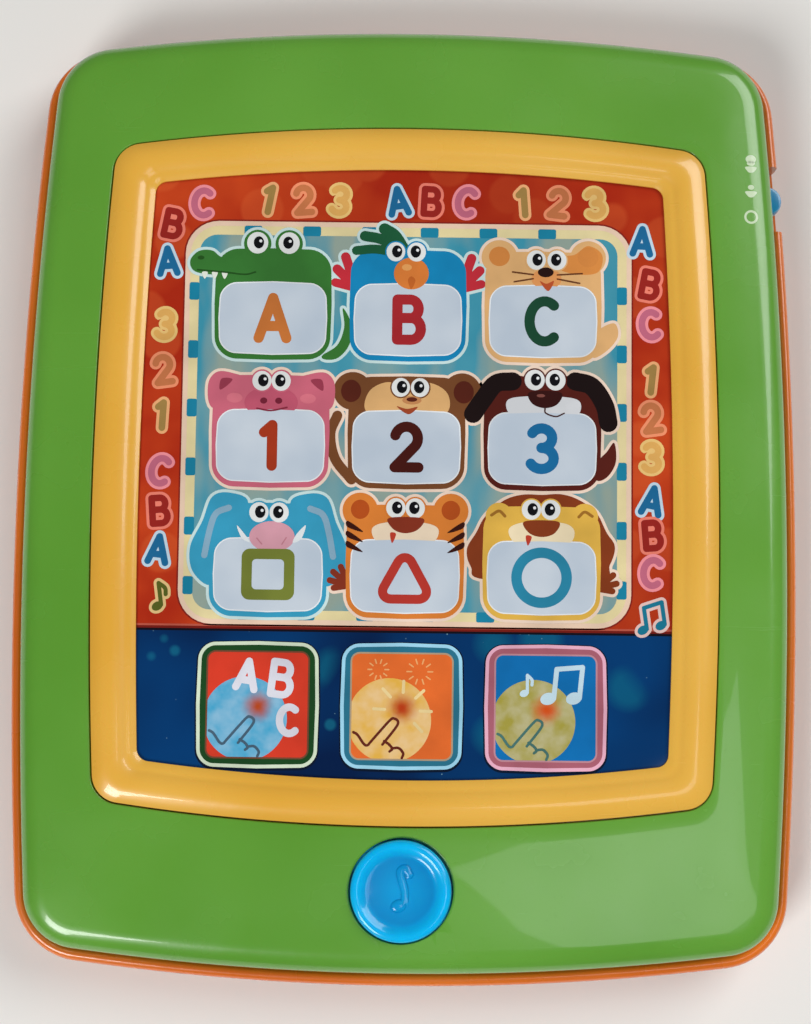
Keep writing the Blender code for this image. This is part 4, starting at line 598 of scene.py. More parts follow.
def noteRelief(centre, height, lowZ, topZ):
    # an upright quaver: a leaning oval head, a stem and a curled flag, all with softened tops
    half = height / 2
    head = spun((0, 0),
                [(0, lowZ), (2.0, lowZ), (1.9, topZ - 0.5), (1.5, topZ - 0.14), (0.9, topZ), (0, topZ)], 40)
    bmesh.ops.scale(head, verts=head.verts, vec=(1.0, 0.8, 1))
    bmesh.ops.rotate(head, verts=head.verts, matrix=Matrix.Rotation(math.radians(20), 3, "Z"))
    bmesh.ops.translate(head, verts=head.verts, vec=(centre.x - 0.5, centre.y - half + 1.9, 0))
    stemLine = [(0.9, -half + 2.2), (0.95, 0), (0.2, half - 2.6), (-0.2, half - 0.6), (1.0, half + 0.1),
                (2.0, half - 1.4)]
    stem = ridge([Vector(p) + centre for p in smoothPath(stemLine, 6)], 0.95, lowZ, topZ)
    return head, stem


def ridge(path, halfWidth, lowZ, topZ):
    # a raised line with a rounded crest
    shoulders = [(halfWidth, lowZ), (halfWidth, topZ - 0.55), (halfWidth * 0.75, topZ - 0.15),
                 (halfWidth * 0.3, topZ)]
    return skin([raised(strokePoints(path, 2 * reach), z) for reach, z in shoulders])


def smoothPath(points, steps=8, closed=False):
    # a smooth line through a few points
    points = [Vector(point) for point in points]
    if closed:
        line = [points[-1], *points, points[0], points[1]]
    else:
        line = [2 * points[0] - points[1], *points, 2 * points[-1] - points[-2]]
    found = []
    for before, start, end, after in zip(line, line[1:], line[2:], line[3:]):
        for step in range(steps):
            t = step / steps
            bend = (2 * before - 5 * start + 4 * end - after) * t**2
            turn = (3 * start - before - 3 * end + after) * t**3
            found.append(0.5 * (2 * start + (end - before) * t + bend + turn))
    return found if closed else [*found, points[-1]]


def keptClear(points, path, reach, closed=False):
    # drops the points that a tight bend has folded back over the path
    segments = list(zip(path, path[1:] + path[:1] if closed else path[1:]))
    found = []
    for point in points:
        for start, end in segments:
            along = end - start
            share = max(0, min(1, (point - start).dot(along) / max(along.length_squared, 1e-9)))
            if (point - start - along * share).length_squared < (reach * 0.97) ** 2:
                break
        else:
            found.append(point)
    return found


def strokePoints(path, width, capSteps=8):
    # the outline of a line of that width with round ends
    sides = []
    for index, point in enumerate(path):
        ahead = path[min(index + 1, len(path) - 1)] - path[max(index - 1, 0)]
        sides.append(Vector((-ahead.y, ahead.x)).normalized() * width / 2)
    left = [point + side for point, side in zip(path, sides)]
    right = [point - side for point, side in zip(path, sides)]
    endTurn, startTurn = heading(sides[-1]), heading(sides[0])
    endCap = arcPoints(path[-1], width / 2, endTurn, endTurn - math.pi, capSteps)[1:-1]
    startCap = arcPoints(path[0], width / 2, startTurn + math.pi, startTurn, capSteps)[1:-1]
    return keptClear(left + endCap + right[::-1] + startCap, path, width / 2)


buildHomeButton(buttonSettings)
print("home button done")

# orange rear shell, with its bay, bosses, grille and slider notch

doorLow, doorHigh = cornersOf("battery_door")
knobLow, knobHigh = cornersOf("volume_knob")
rearSettings = {"wall": 2.2, "edgeSpan": 9, "edgeRise": 10, "rimBaseZ": 12.9, "rimCrest": 2.1, "ledgeZ": 13.6,
                "tongue": 3.0, "tongueWall": 1.6, "tongueRootZ": 11.6, "rimTurn": 150, "edgeLevels": 9,
                "rimLevels": 10, "doorEdgeY": doorLow.y + 2.6, "doorGap": 0.4, "seatZ": 2.5, "bayWall": 1.6,
                "bayTopZ": 17.6, "bayDepth": 31.1, "bayHalfX": 28.4, "counterbore": 3.5, "seatHeight": 9,
                "grilleSlots": 7, "grillePitch": 4, "slotWidth": 1.8, "grilleRadius": 14, "notchHalf": 8.15,
                "notchLowZ": 7.6, "notchDepth": 6.0, "notchTopZ": 22, "postFoot": 5.4, "postTip": 5.2,
                "postTopZ": 12.8, "headHeight": 1.4, "ribRadii": (18.45, 19.65), "ribTopZ": 5.0, "tabX": 15,
                "tabInset": 4.6, "frameMargin": 3.0}


def buildRearShell(s):
    levels = []
    for step in range(s["edgeLevels"] + 1):
        turn = math.pi / 2 * (1 - step / s["edgeLevels"])
        inset = s["edgeSpan"] * (1 - math.cos(turn))
        levels.append(outlineAt(grown(rearOutline, -inset), s["edgeRise"] * (1 - math.sin(turn))))
    groove = grown(frontOutline, 0.3)
    for step in range(s["rimLevels"] + 1):
        turn = math.radians(s["rimTurn"]) * step / s["rimLevels"]
        z = s["rimBaseZ"] + s["rimCrest"] * math.sin(turn)
        levels.append(between(rearOutline, groove, (1 - math.cos(turn)) / 2, z))
    tongue = grown(frontOutline, -2.5)
    tongueInside = grown(tongue, -s["tongueWall"])
    levels += [
        outlineAt(groove, s["ledgeZ"]),
        outlineAt(tongue, s["ledgeZ"]),
        outlineAt(tongue, s["ledgeZ"] + s["tongue"]),
        outlineAt(tongueInside, s["ledgeZ"] + s["tongue"]),
        outlineAt(tongueInside, s["tongueRootZ"]),
    ]
    for step in range(5):
        turn = math.pi / 2 * step / 4
        inset = s["wall"] + s["edgeSpan"] * (1 - math.cos(turn))
        z = s["edgeRise"] - (s["edgeRise"] - s["wall"]) * math.sin(turn)
        levels.append(outlineAt(grown(rearOutline, -inset), z))
    shell = skin(levels)

    rootZ = s["wall"] / 2
    bayLowY = doorLow.y + s["tabInset"]  # the door's box includes its tabs
    bayHighY = bayLowY + s["bayDepth"]
    bay = block((-s["bayHalfX"] - s["bayWall"], bayLowY - s["bayWall"], rootZ),
                (s["bayHalfX"] + s["bayWall"], bayHighY + s["bayWall"], s["bayTopZ"] + s["bayWall"]))
    margin = s["frameMargin"]
    doorFrame = block((doorLow.x - margin, s["doorEdgeY"] - margin, rootZ),
                      (doorHigh.x + margin, doorHigh.y + margin, s["seatZ"] + 2))
    shell = join(join(shell, bay), doorFrame)
    speakerCentre, doorScrewCentre = middleOf("speaker_frame"), middleOf("battery_door_screw")
    posts = [spun(middleOf(screw), disc(s["postFoot"], rootZ) + disc(s["postTip"], s["postTopZ"])[::-1], 32)
             for screw in caseScrews]
    for kind, radius, held in (("board_screw", 3.0, 1.9), ("speaker_screw", 2.9, 1.5)):
        for node in [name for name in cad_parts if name.startswith(kind)]:
            place, topZ = screwPlace(node)
            posts.append(rod(place, radius, rootZ, topZ - s["headHeight"] - held))
    innerRib, outerRib = s["ribRadii"]
    rib = [(innerRib, rootZ), (outerRib, rootZ), (outerRib, s["ribTopZ"]), (innerRib, s["ribTopZ"])]
    posts.append(rod(doorScrewCentre, 4, rootZ, 9.5))
    shell = join(shell, *posts)
    shell = join(shell, spun(speakerCentre, rib, 64))

    recess = block((doorLow.x - s["doorGap"], s["doorEdgeY"] - s["doorGap"], -3),
                   (doorHigh.x + s["doorGap"], doorHigh.y + s["doorGap"], s["seatZ"]))
    shell = cut(shell, recess)
    shell = cut(shell, block((-s["bayHalfX"], bayLowY, -4), (s["bayHalfX"], bayHighY, s["bayTopZ"])))
    tabRoom = [block((x - 4.4, s["doorEdgeY"] - 3.3, s["wall"] + 0.01), (x + 4.4, bayLowY + 0.3, 7.4))
               for x in (-s["tabX"], s["tabX"])]
    shell = cut(shell, *tabRoom)
    holes = [spun(middleOf(screw), counterbore(s), 40) for screw in caseScrews]
    holes.append(rod(doorScrewCentre, 2.0, s["wall"], 6.6))
    shell = cut(shell, *holes)
    slots = []
    for index in range(s["grilleSlots"]):
        x = (index - (s["grilleSlots"] - 1) / 2) * s["grillePitch"]
        reach = math.sqrt(s["grilleRadius"] ** 2 - x**2) - s["slotWidth"] / 2
        line = [Vector((x, speakerCentre[1] - reach)), Vector((x, speakerCentre[1] + reach))]
        widths = ((-1, 1.6), (0.0, 0.9), (0.35, 0.25), (0.8, 0.0), (4, 0.0))
        slots.append(skin([raised(strokePoints(line, s["slotWidth"] + flare), z) for z, flare in widths]))
    shell = cut(shell, *slots)
    knobY = (knobLow.y + knobHigh.y) / 2
    edgeX = halfWidthAt(frontOutline, knobY)
    shell = cut(shell, block((edgeX - s["notchDepth"], knobY - s["notchHalf"], s["notchLowZ"]),
                             (edgeX + 20, knobY + s["notchHalf"], s["notchTopZ"])))
    return finishPiece("rearShell", shell, "casing", [orangePlastic], ["rear_shell"])


def counterbore(s):
    radius, depth = s["counterbore"], s["seatHeight"]
    return [(0, -2), (radius + 2.4, -2), (radius + 0.5, 0.0), (radius + 0.15, 0.15), (radius, 0.5),
            (radius, depth), (1.7, depth), (1.7, 15), (0, 15)]


buildRearShell(rearSettings)
print("rear shell done")

# battery door: a flush plate with finger ridges, an arrow, tabs and a screw well

doorSettings = {"lowZ": 0.3, "topZ": 2.2, "rounding": 0.35, "ridges": 5, "ridgePitch": 2.4,
                "ridgeHeight": 0.28, "wellRadius": 3.5, "skin": 0.7, "screwHead": 2.2 - 0.7 - 0.3 - 0.3}


def buildBatteryDoor(s):
    edgeY = rearSettings["doorEdgeY"]
    door = block((doorLow.x, edgeY, s["lowZ"]), (doorHigh.x, doorHigh.y, s["topZ"]), s["rounding"])
    for x in (-rearSettings["tabX"], rearSettings["tabX"]):
        tab = block((x - 4, doorLow.y, 2.5), (x + 4, edgeY + 3, 4.2), 0.25, 2)
        riser = block((x - 3.9, edgeY + 0.3, 1.9), (x + 3.9, edgeY + 2.9, 3.2))
        door = join(join(door, riser), tab)
    grips = []
    for index in range(s["ridges"]):
        y = doorHigh.y - 12 - index * s["ridgePitch"]
        half = 11 - 0.9 * index
        line = [Vector((-half, y)), Vector((half, y))]
        grips.append(skin([raised(strokePoints(line, width), z) for z, width in
                           ((-0.5, 1.9), (s["lowZ"] - 0.02, 1.15), (s["lowZ"] + s["ridgeHeight"], 0.5))]))
    shaft = [Vector((0, edgeY + 7)), Vector((0, edgeY + 13))]
    barbs = [Vector((-3, edgeY + 12)), Vector((0, edgeY + 16)), Vector((3, edgeY + 12))]
    door = cut(door, *grips)
    for line in (shaft, barbs):
        door = cut(door, skin([raised(strokePoints(line, 1.2), z) for z in (-0.5, s["lowZ"] + 0.25)]))
    seatZ = s["topZ"] - s["skin"]
    well = [(0, -0.5), (s["wellRadius"] + 0.5, -0.5), (s["wellRadius"] + 0.4, s["lowZ"]),
            (s["wellRadius"], s["lowZ"] + 0.35),
            (s["wellRadius"], seatZ), (1.7, seatZ), (1.7, 3), (0, 3)]
    door = cut(door, spun(middleOf("battery_door_screw"), well, 40))
    return finishPiece("batteryDoor", door, "battery_door",
                       [orangePlastic], ["battery_door"])


buildBatteryDoor(doorSettings)
print("battery door done")

# screws with a cross recess

screwSteel = metal("screwSteel", "c9c9c6", "a9aaa8", 0.3)
screwSettings = {"headRadius": 2.9, "headHeight": 2.1, "shankRadius": 1.4, "recess": 1.7, "recessTurn": 0.35}


def crossScrew(node, body, headHeight, s):
    headRadius, shankRadius, recess = s["headRadius"], s["shankRadius"], s["recess"]
    place, tipZ = screwPlace(node)
    headZ = cornersOf(node)[0].z
    profile = [(0, headZ), (headRadius * 0.6, headZ + 0.08 * headHeight),
               (headRadius * 0.9, headZ + 0.35 * headHeight),
               (headRadius, headZ + 0.62 * headHeight), (headRadius, headZ + headHeight),
               (shankRadius, headZ + headHeight),
               (shankRadius, tipZ - shankRadius), (shankRadius * 0.3, tipZ), (0, tipZ)]
    screw = spun(place, profile, 40)
    for turn in (s["recessTurn"], s["recessTurn"] + math.pi / 2):
        wing = block((-recess, -recess * 0.22, headZ - 1), (recess, recess * 0.22, headZ + headHeight * 0.5))
        bmesh.ops.rotate(wing, verts=wing.verts, matrix=Matrix.Rotation(turn, 3, "Z"))
        bmesh.ops.translate(wing, verts=wing.verts, vec=(place[0], place[1], 0))
        screw = cut(screw, wing)
    name = "screw" + "".join(word.capitalize() for word in node.split("_"))
    return finishPiece(name, screw, body, [screwSteel], [node])


for screw in caseScrews:
    crossScrew(screw, "casing", screwSettings["headHeight"], screwSettings)
crossScrew("battery_door_screw", "battery_door_screw", doorSettings["screwHead"], screwSettings)
print("screws done")

# volume slider

knobSettings = {"length": 7.5, "lowZ": 8.0, "highZ": 13.2, "proud": 4.0, "rounding": 1.0, "shutterX": 6.0}


def buildVolumeKnob(s):
    centreY = (knobLow.y + knobHigh.y) / 2
    edgeX = halfWidthAt(frontOutline, centreY)
    shutterX = edgeX - s["shutterX"]
    tipX, half = edgeX + s["proud"], s["length"] / 2
    levels = []
    for step in range(13):
        turn = math.pi * step / 12
        z = (s["lowZ"] + s["highZ"]) / 2 - math.cos(turn) * (s["highZ"] - s["lowZ"]) / 2
        inset = s["rounding"] * (1 - math.sin(turn) ** 0.5)
        outline = [Vector((shutterX - 0.3, -half + inset)), Vector((tipX - half, -half + inset))]
        outline += arcPoints(Vector((tipX - half, 0)), half - inset, -math.pi / 2, math.pi / 2, 20)[1:]
        outline += [Vector((shutterX - 0.3, half - inset))]
        levels.append([Vector((point.x, point.y + centreY, z)) for point in outline])
    grip = skin(levels)
    shutter = block((shutterX - 1.3, knobLow.y, knobLow.z), (shutterX, knobHigh.y, knobHigh.z), 0.2, 2)
    centreZ = (s["lowZ"] + s["highZ"]) / 2
    forks = [block((knobLow.x, centreY + min(side * 1.2, side * 2.2), centreZ - 1.75),
                   (shutterX - 1, centreY + max(side * 1.2, side * 2.2), centreZ + 1.75), 0.15, 2)
             for side in (-1, 1)]
    knob = join(shutter, grip)
    for fork in forks:
        knob = join(knob, fork)
    cyan = mouldedPlastic("cyanSlider", "12a4da", "0b86bd", 0.2, glow=0.15)
    return finishPiece("volumeKnob", knob, "volume_slider", [cyan], ["volume_knob"])


buildVolumeKnob(knobSettings)
print("volume slider done")

# the printed picture: thin flat shapes in layers, each one an ink

inkList = {}
printSettings = {"baseZ": sheetHigh.z, "lift": 0.01, "layer": 0.012, "rank": 0.00055, "ranks": 16,
                 "inkThickness": 0.008, "columnPitch": 32.5, "rowPitch": 30.9, "gridY": 11.6,
                 "bandTopY": -32.4, "padPitch": 34.0, "padY": -50.1}


def ink(code, darker=0.9):
    # one glossy ink for each colour, made when it is first asked for
    if code not in inkList:
        values = [int(int(code[i:i + 2], 16) * darker) for i in (0, 2, 4)]
        inkList[code] = glossyInk("ink" + code, code, "".join(f"{value:02x}" for value in values))
    return inkList[code]


def newArt(base=0):
    # base is the layer that this art starts on
    return {"bm": bmesh.new(), "inks": [], "placed": {}, "base": base}


def layFlat(art, points, colour, layer):
    material = colour if isinstance(colour, bpy.types.Material) else ink(colour)
    if material not in art["inks"]:
        art["inks"].append(material)
    level = art["base"] + layer
    place = art["placed"].get(level, 0)
    art["placed"][level] = place + 1
    # shapes on one layer lie a hair apart, so overlapping ones never share a height
    z = printSettings["baseZ"] + printSettings["lift"] + level * printSettings["layer"]
    z += (place % printSettings["ranks"]) * printSettings["rank"]
    loop = startLoop(art["bm"], raised(points, z))
    faces = bmesh.ops.triangulate(art["bm"], faces=fillLoop(art["bm"], loop))["faces"]
    for face in faces:
        face.normal_update()
        face.material_index = art["inks"].index(material)
    facing = sum(face.calc_area() * face.normal.z for face in faces)
    folded = [face for face in faces if face.normal.z * facing <= 0]
    if facing < 0:
        bmesh.ops.reverse_faces(art["bm"], faces=faces)
    bmesh.ops.delete(art["bm"], geom=folded, context="FACES")


def finishPrint(name, bm, inks, depth):
    piece = finishPiece(name, bm, "casing", inks)
    piece.data.shade_flat()
    thickness = piece.modifiers.new("thickness", "SOLIDIFY")
    thickness.thickness = depth * mm


def finishArt(name, art):
    finishPrint(name, art["bm"], art["inks"], printSettings["inkThickness"])


def moved(points, at=(0, 0), turn=0.0, size=1.0):
    spin = Matrix.Rotation(turn, 2)
    return [spin @ (Vector(point) * size) + Vector(at) for point in points]


def oval(at, rx, ry=None, turn=0.0, steps=40):
    ring = [(rx * math.cos(math.tau * i / steps), (ry or rx) * math.sin(math.tau * i / steps))
            for i in range(steps)]
    return moved(ring, at, turn)


def roundBox(at, width, height, corner, bulge=0.0, steps=8):
    # a rounded rectangle whose sides may swell a little
    halfW, halfH = width / 2, height / 2
    points = []
    for index, (sx, sy) in enumerate(((1, -1), (1, 1), (-1, 1), (-1, -1))):
        centre = Vector((sx * (halfW - corner), sy * (halfH - corner)))
        start = -math.pi / 2 + index * math.pi / 2
        points += arcPoints(centre, corner, start, start + math.pi / 2, steps)
        middle = Vector(((halfW, 0), (0, halfH), (-halfW, 0), (0, -halfH))[index])
        points.append(middle)
    swollen = []
    for p in points:
        reachX = 1 - (p.y / halfH) ** 2
        reachY = 1 - (p.x / halfW) ** 2
        swollen.append(Vector((p.x + math.copysign(bulge * reachX, p.x) * abs(p.x) / halfW,
                               p.y + math.copysign(bulge * reachY, p.y) * abs(p.y) / halfH)))
    return refine(moved(swollen, at), 2.2)


def refine(points, longest):
    # adds points along the long stretches, so that swollen sides stay smooth
    found = []
    for start, end in zip(points, points[1:] + points[:1]):
        steps = max(1, math.ceil((end - start).length / longest))
        found += [start.lerp(end, step / steps) for step in range(steps)]
    return found


def blob(points):
    return smoothPath(points, 7, closed=True)


def widened(points, by):
    # the same closed outline, moved outwards, with round corners
    area = sum(a.x * b.y - b.x * a.y for a, b in zip(points, points[1:] + points[:1]))
    way = math.copysign(1, area)
    found = []
    for before, point, after in zip(points[-1:] + points[:-1], points, points[1:] + points[:1]):
        first, second = (point - before).normalized(), (after - point).normalized()
        start, turn = heading(Vector((first.y, -first.x)) * way), first.angle_signed(second, 0) * -way
        if turn > 0.3:
            found += arcPoints(point, by, start, start + way * turn, 4)
        else:
            along = (first + second).normalized()
            found.append(point + Vector((along.y, -along.x)) * way * by)
    return keptClear(found, points, by, closed=True)


# letter and number strokes, in a box one unit high that stands on the line y = 0

def bend(cx, cy, rx, ry, start, end, steps=14):
    turns = [math.radians(start + (end - start) * i / steps) for i in range(steps + 1)]
    return [(cx + rx * math.cos(t), cy + ry * math.sin(t)) for t in turns]


strokesOf = {
    "A": [[(-0.34, 0), (0, 1)], [(0.34, 0), (0, 1)], [(-0.2, 0.3), (0.2, 0.3)]],
    "B": [[(-0.26, 0), (-0.26, 1)], [(-0.26, 1), *bend(0.06, 0.77, 0.2, 0.23, 90, -90), (-0.26, 0.54)],
          [(-0.26, 0.54), *bend(0.08, 0.27, 0.24, 0.27, 90, -90), (-0.26, 0)]],
    "C": [bend(0.04, 0.5, 0.37, 0.5, 52, 308, 24)],
    "1": [[(-0.16, 0.82), (0.04, 1)], [(0.04, 1), (0.04, 0)]],
    "2": [bend(0, 0.71, 0.28, 0.29, 165, -38, 16), [bend(0, 0.71, 0.28, 0.29, -38, -38, 1)[0], (-0.28, 0.0)],
          [(-0.28, 0.0), (0.3, 0.0)]],
    "3": [bend(-0.02, 0.76, 0.26, 0.24, 150, -90, 16), bend(-0.02, 0.26, 0.3, 0.26, 90, -150, 16)],
    "quaver": [[(0.1, 0.16), (0.1, 0.92)], smoothPath([(0.1, 0.92), (0.3, 0.72), (0.3, 0.5)], 6)],
    "notes": [[(-0.22, 0.12), (-0.22, 0.86)], [(0.42, 0.2), (0.42, 0.98)], [(-0.22, 0.86), (0.42, 0.98)]],
}
headsOf = {"quaver": [(-0.04, 0.13)], "notes": [(-0.36, 0.1), (0.28, 0.18)]}


def layGlyph(art, glyph, at, height, width, colour, layer, turn=0.0, extra=0.0):
    # extra widens every stroke, for the outline that lies under a letter
    for stroke in strokesOf[glyph]:
        line = moved([Vector(p) - Vector((0, 0.5)) for p in stroke], at, turn, height)
        layFlat(art, strokePoints(line, width + 2 * extra), colour, layer)
    for head in headsOf.get(glyph, []):
        centre = moved([Vector(head) - Vector((0, 0.5))], at, turn, height)[0]
        layFlat(art, oval(centre, 0.2 * height + extra, 0.15 * height + extra, turn + 0.4), colour, layer)


# the sheet itself: blotched red paper, the navy band and its dark edge

def blotchedRed():
    material, shader, spot = startInk("blotchedRed")
    base = drifting(material, spot, (34, 3, 0.55), (0.4, 0.68), "a82810", "ce4a1e")
    cells = addNode(material, "TexVoronoi", [("Vector", spot)], Scale=75, Randomness=1.0).outputs["Distance"]
    rings = spread(material, cells, 0.42, 0.36, 0, 0.28)
    base = blendColours(material, rings, base, paint("dc6432"))
    deep = spread(material, noise(material, spot, 17, 2), 0.52, 0.72, 0, 0.65)
    base = blendColours(material, deep, base, paint("8e1c0e"))
    return feedRippled(material, shader, spot, base)


def starryNavy():
    material, shader, spot = startInk("starryNavy")
    base = drifting(material, spot, (26, 2), (0.38, 0.66), "001c46", "003a70")
    flat = addNode(material, "Mapping", [("Vector", spot)], Scale=(1, 1, 0)).outputs["Vector"]
    for scale, size, tone, share in ((58, 0.36, "0b6a86", 0.5), (120, 0.2, "1a86a0", 0.35),
                                     (420, 0.08, "9fd4de", 0.5)):
        cells = addNode(material, "TexVoronoi", [("Vector", flat)], Scale=scale).outputs["Distance"]
        glow = spread(material, cells, size, size * 0.55, 0, share)
        chosen = spread(material, noise(material, spot, scale * 0.6, 0), 0.52, 0.6)
        glow = addNode(material, "Math", [(0, glow), (1, chosen)], operation="MULTIPLY").outputs[0]
        base = blendColours(material, glow, base, paint(tone))
    return feedRippled(material, shader, spot, base)


def stripedTeal():
    material, shader, spot = startInk("stripedTeal")
    tall = addNode(material, "Mapping", [("Vector", spot)], Scale=(1, 0.3, 1)).outputs["Vector"]
    base = drifting(material, tall, (95, 2), (0.4, 0.6), "3b8fa6", "8f9f94")
    hazy = spread(material, noise(material, spot, 50, 2), 0.45, 0.7, 0, 0.5)
    base = blendColours(material, hazy, base, paint("5aa3b4"))
    feed(material, shader, Base_Color=base)
    return material


def buildSheet():
    edge = grown(screenOutline, sheetMargin)
    slab = skin([outlineAt(edge, sheetLow.z), outlineAt(edge, sheetHigh.z)])
    finishPiece("pictureSheet", slab, "casing", [blotchedRed()], ["picture_sheet"])
    band = newArt()
    layFlat(band, outlinePoints(edge), starryNavy(), 0)
    bmesh.ops.bisect_plane(band["bm"], geom=band["bm"].verts[:] + band["bm"].edges[:] + band["bm"].faces[:],
                           plane_co=(0, printSettings["bandTopY"], 0), plane_no=(0, 1, 0), clear_outer=True)
    for offset, height, colour in ((0.9, 0.5, "c05a48"), (0.35, 0.7, "7a1c14"), (-0.15, 0.55, "100c18")):
        y = printSettings["bandTopY"] + offset
        reach = halfWidthAt(screenOutline, y) + 1.5
        layFlat(band, [Vector((-reach, y - height / 2)), Vector((reach, y - height / 2)),
                       Vector((reach, y + height / 2)), Vector((-reach, y + height / 2))], colour, 1)
    finishArt("printBand", band)


buildSheet()

# the panel that the cards stand on, with its dashed edge

panelSettings = {"halfWidth": 53.8, "topY": 66.2, "bottomY": -31.2, "corner": 8.0, "rim": 1.2, "edging": 2.2,
                 "dashPitch": 14.2, "dashLength": 4.3}


def buildPanel(s):
    art = newArt()
    centre = (0, (s["topY"] + s["bottomY"]) / 2)
    width, height = 2 * s["halfWidth"], s["topY"] - s["bottomY"]
    layFlat(art, roundBox(centre, width + 0.8, height + 0.8, s["corner"] + 0.4), "8c241a", 1)
    layFlat(art, roundBox(centre, width, height, s["corner"]), "f2d2b8", 2)
    layFlat(art, roundBox(centre, width - 2 * s["rim"], height - 2 * s["rim"], s["corner"] - s["rim"]),
            "ecdca6", 3)
    inset = s["rim"] + s["edging"]
    layFlat(art, roundBox(centre, width - 2 * inset, height - 2 * inset, 4.2), stripedTeal(), 5)
    dashWidth = s["edging"] - 0.4
    middle = s["rim"] + s["edging"] / 2
    for side in (-1, 1):
        x = side * (s["halfWidth"] - middle)
        for index in range(-3, 4):
            y = centre[1] + 3 + index * s["dashPitch"]
            if abs(y - centre[1]) < height / 2 - s["corner"]:
                layFlat(art, roundBox((x, y), dashWidth + 0.6, s["dashLength"], 0.5), "1c86a6", 6)
        y = centre[1] + side * (height / 2 - middle)
        for index in range(-3, 4):
            x = index * s["dashPitch"] + 5
            if abs(x) < s["halfWidth"] - s["corner"]:
                layFlat(art, roundBox((x, y), s["dashLength"], dashWidth + 0.6, 0.5), "1c86a6", 6)
    finishArt("printPanel", art)


buildPanel(panelSettings)

# loose letters and numbers round the border

borderColours = {"A": ("1f6c9c", "c8e0ee"), "B": ("9c2620", "f68672"), "C": ("c86c84", "fb98a0"),
                 "1": ("a8864a", "f8b47c"), "2": ("cc7a4c", "f8986e"), "3": ("e6b060", "f2c87c"),
                 "quaver": ("5c6424", "ecc888"), "notes": ("1c7c98", "f0ccc4")}
borderSettings = {"height": 6.1, "stroke": 1.6, "outline": 0.68, "topY": 71.6, "tilt": 9}


def buildBorder(s):
    art = newArt()
    top = [("1", -33.9), ("2", -25.6), ("3", -16.8), ("A", -2.6), ("B", 5.2), ("C", 13.8), ("1", 27.6),
           ("2", 36.0), ("3", 45.0)]
    left = [("C", 70.6, 50.0), ("B", 65.4, 57.2), ("A", 56.2), ("3", 40.6), ("2", 29.6), ("1", 18.6),
            ("C", 5.2),
            ("B", -4.4), ("A", -13.6), ("quaver", -24.6)]
    right = [("A", 62.4, 56.3), ("B", 51.8), ("C", 42.0), ("1", 28.6), ("2", 19.3), ("3", 9.8), ("A", -0.6),
             ("B", -8.9), ("C", -17.8), ("notes", -28.4)]
    places = [(glyph, x, s["topY"]) for glyph, x in top]
    for side, column in ((-1, left), (1, right)):
        for glyph, y, *given in column:
            x = given[0] if given else (panelSettings["halfWidth"] + halfWidthAt(screenOutline, y)) / 2
            places.append((glyph, side * x, y))
    for index, (glyph, x, y) in enumerate(places):
        fill, outline = borderColours[glyph]
        tilt = math.radians(s["tilt"] * (-1.2, 0.5, -0.7, 0.9, -0.3)[index % 5])
        size = s["height"] * (1.12 if glyph in headsOf else 1)
        width = s["stroke"] * (0.62 if glyph in headsOf else 1)
        layGlyph(art, glyph, (x, y), size, width, outline, 2, tilt, s["outline"])
        layGlyph(art, glyph, (x, y), size, width, fill, 3, tilt)
    finishArt("printBorder", art)


buildBorder(borderSettings)
print("sheet, panel and border done")

# nine cards, each a soft-cornered animal that holds a white window

cardSettings = {"width": 27.2, "lowY": -9.7, "highY": 16.6, "corner": 4.8, "windowWidth": 24.4,
                "windowHeight": 16.2, "outline": 0.7, "glyphHeight": 9.8, "glyphStroke": 2.5}
outlineTint = {"cool": "cfe8e6", "warm": "f6dcc8"}


def eyes(y, apart=2.6, x=0.6, size=2.5):
    found = []
    for side, look in ((-1, 0.3), (1, -0.2)):
        at = (x + side * apart, y)
        found.append(("oval", "skin", 7, at, size + 0.35, size * 1.04 + 0.35, True))
        found.append(("oval", "eceeec", 8, at, size, size * 1.04))
        found.append(("oval", "101014", 9, (at[0] + look, y + 0.1), 1.25, 1.5))
        found.append(("oval", "f4f6f6", 10, (at[0] + look + 0.45, y + 0.45), 0.36, 0.36))
    return found


def ovals(tone, layer, across, y, rx, ry, *outlined):
    return [("oval", tone, layer, (x, y), rx, ry, *outlined) for x in across]


def lines(tone, width, *paths):
    return [("stroke", tone, 9, path, width) for path in paths]


def paw(tone, side):
    # four fingers that fan out from one root
    tips = ((15.2, 2.0), (17.0, 0.8), (17.8, -1.2), (16.8, -3.0))
    return [("stroke", tone, 3, [(side * 13.2, -2.4), (side * x, y)], 1.5, True) for x, y in tips]


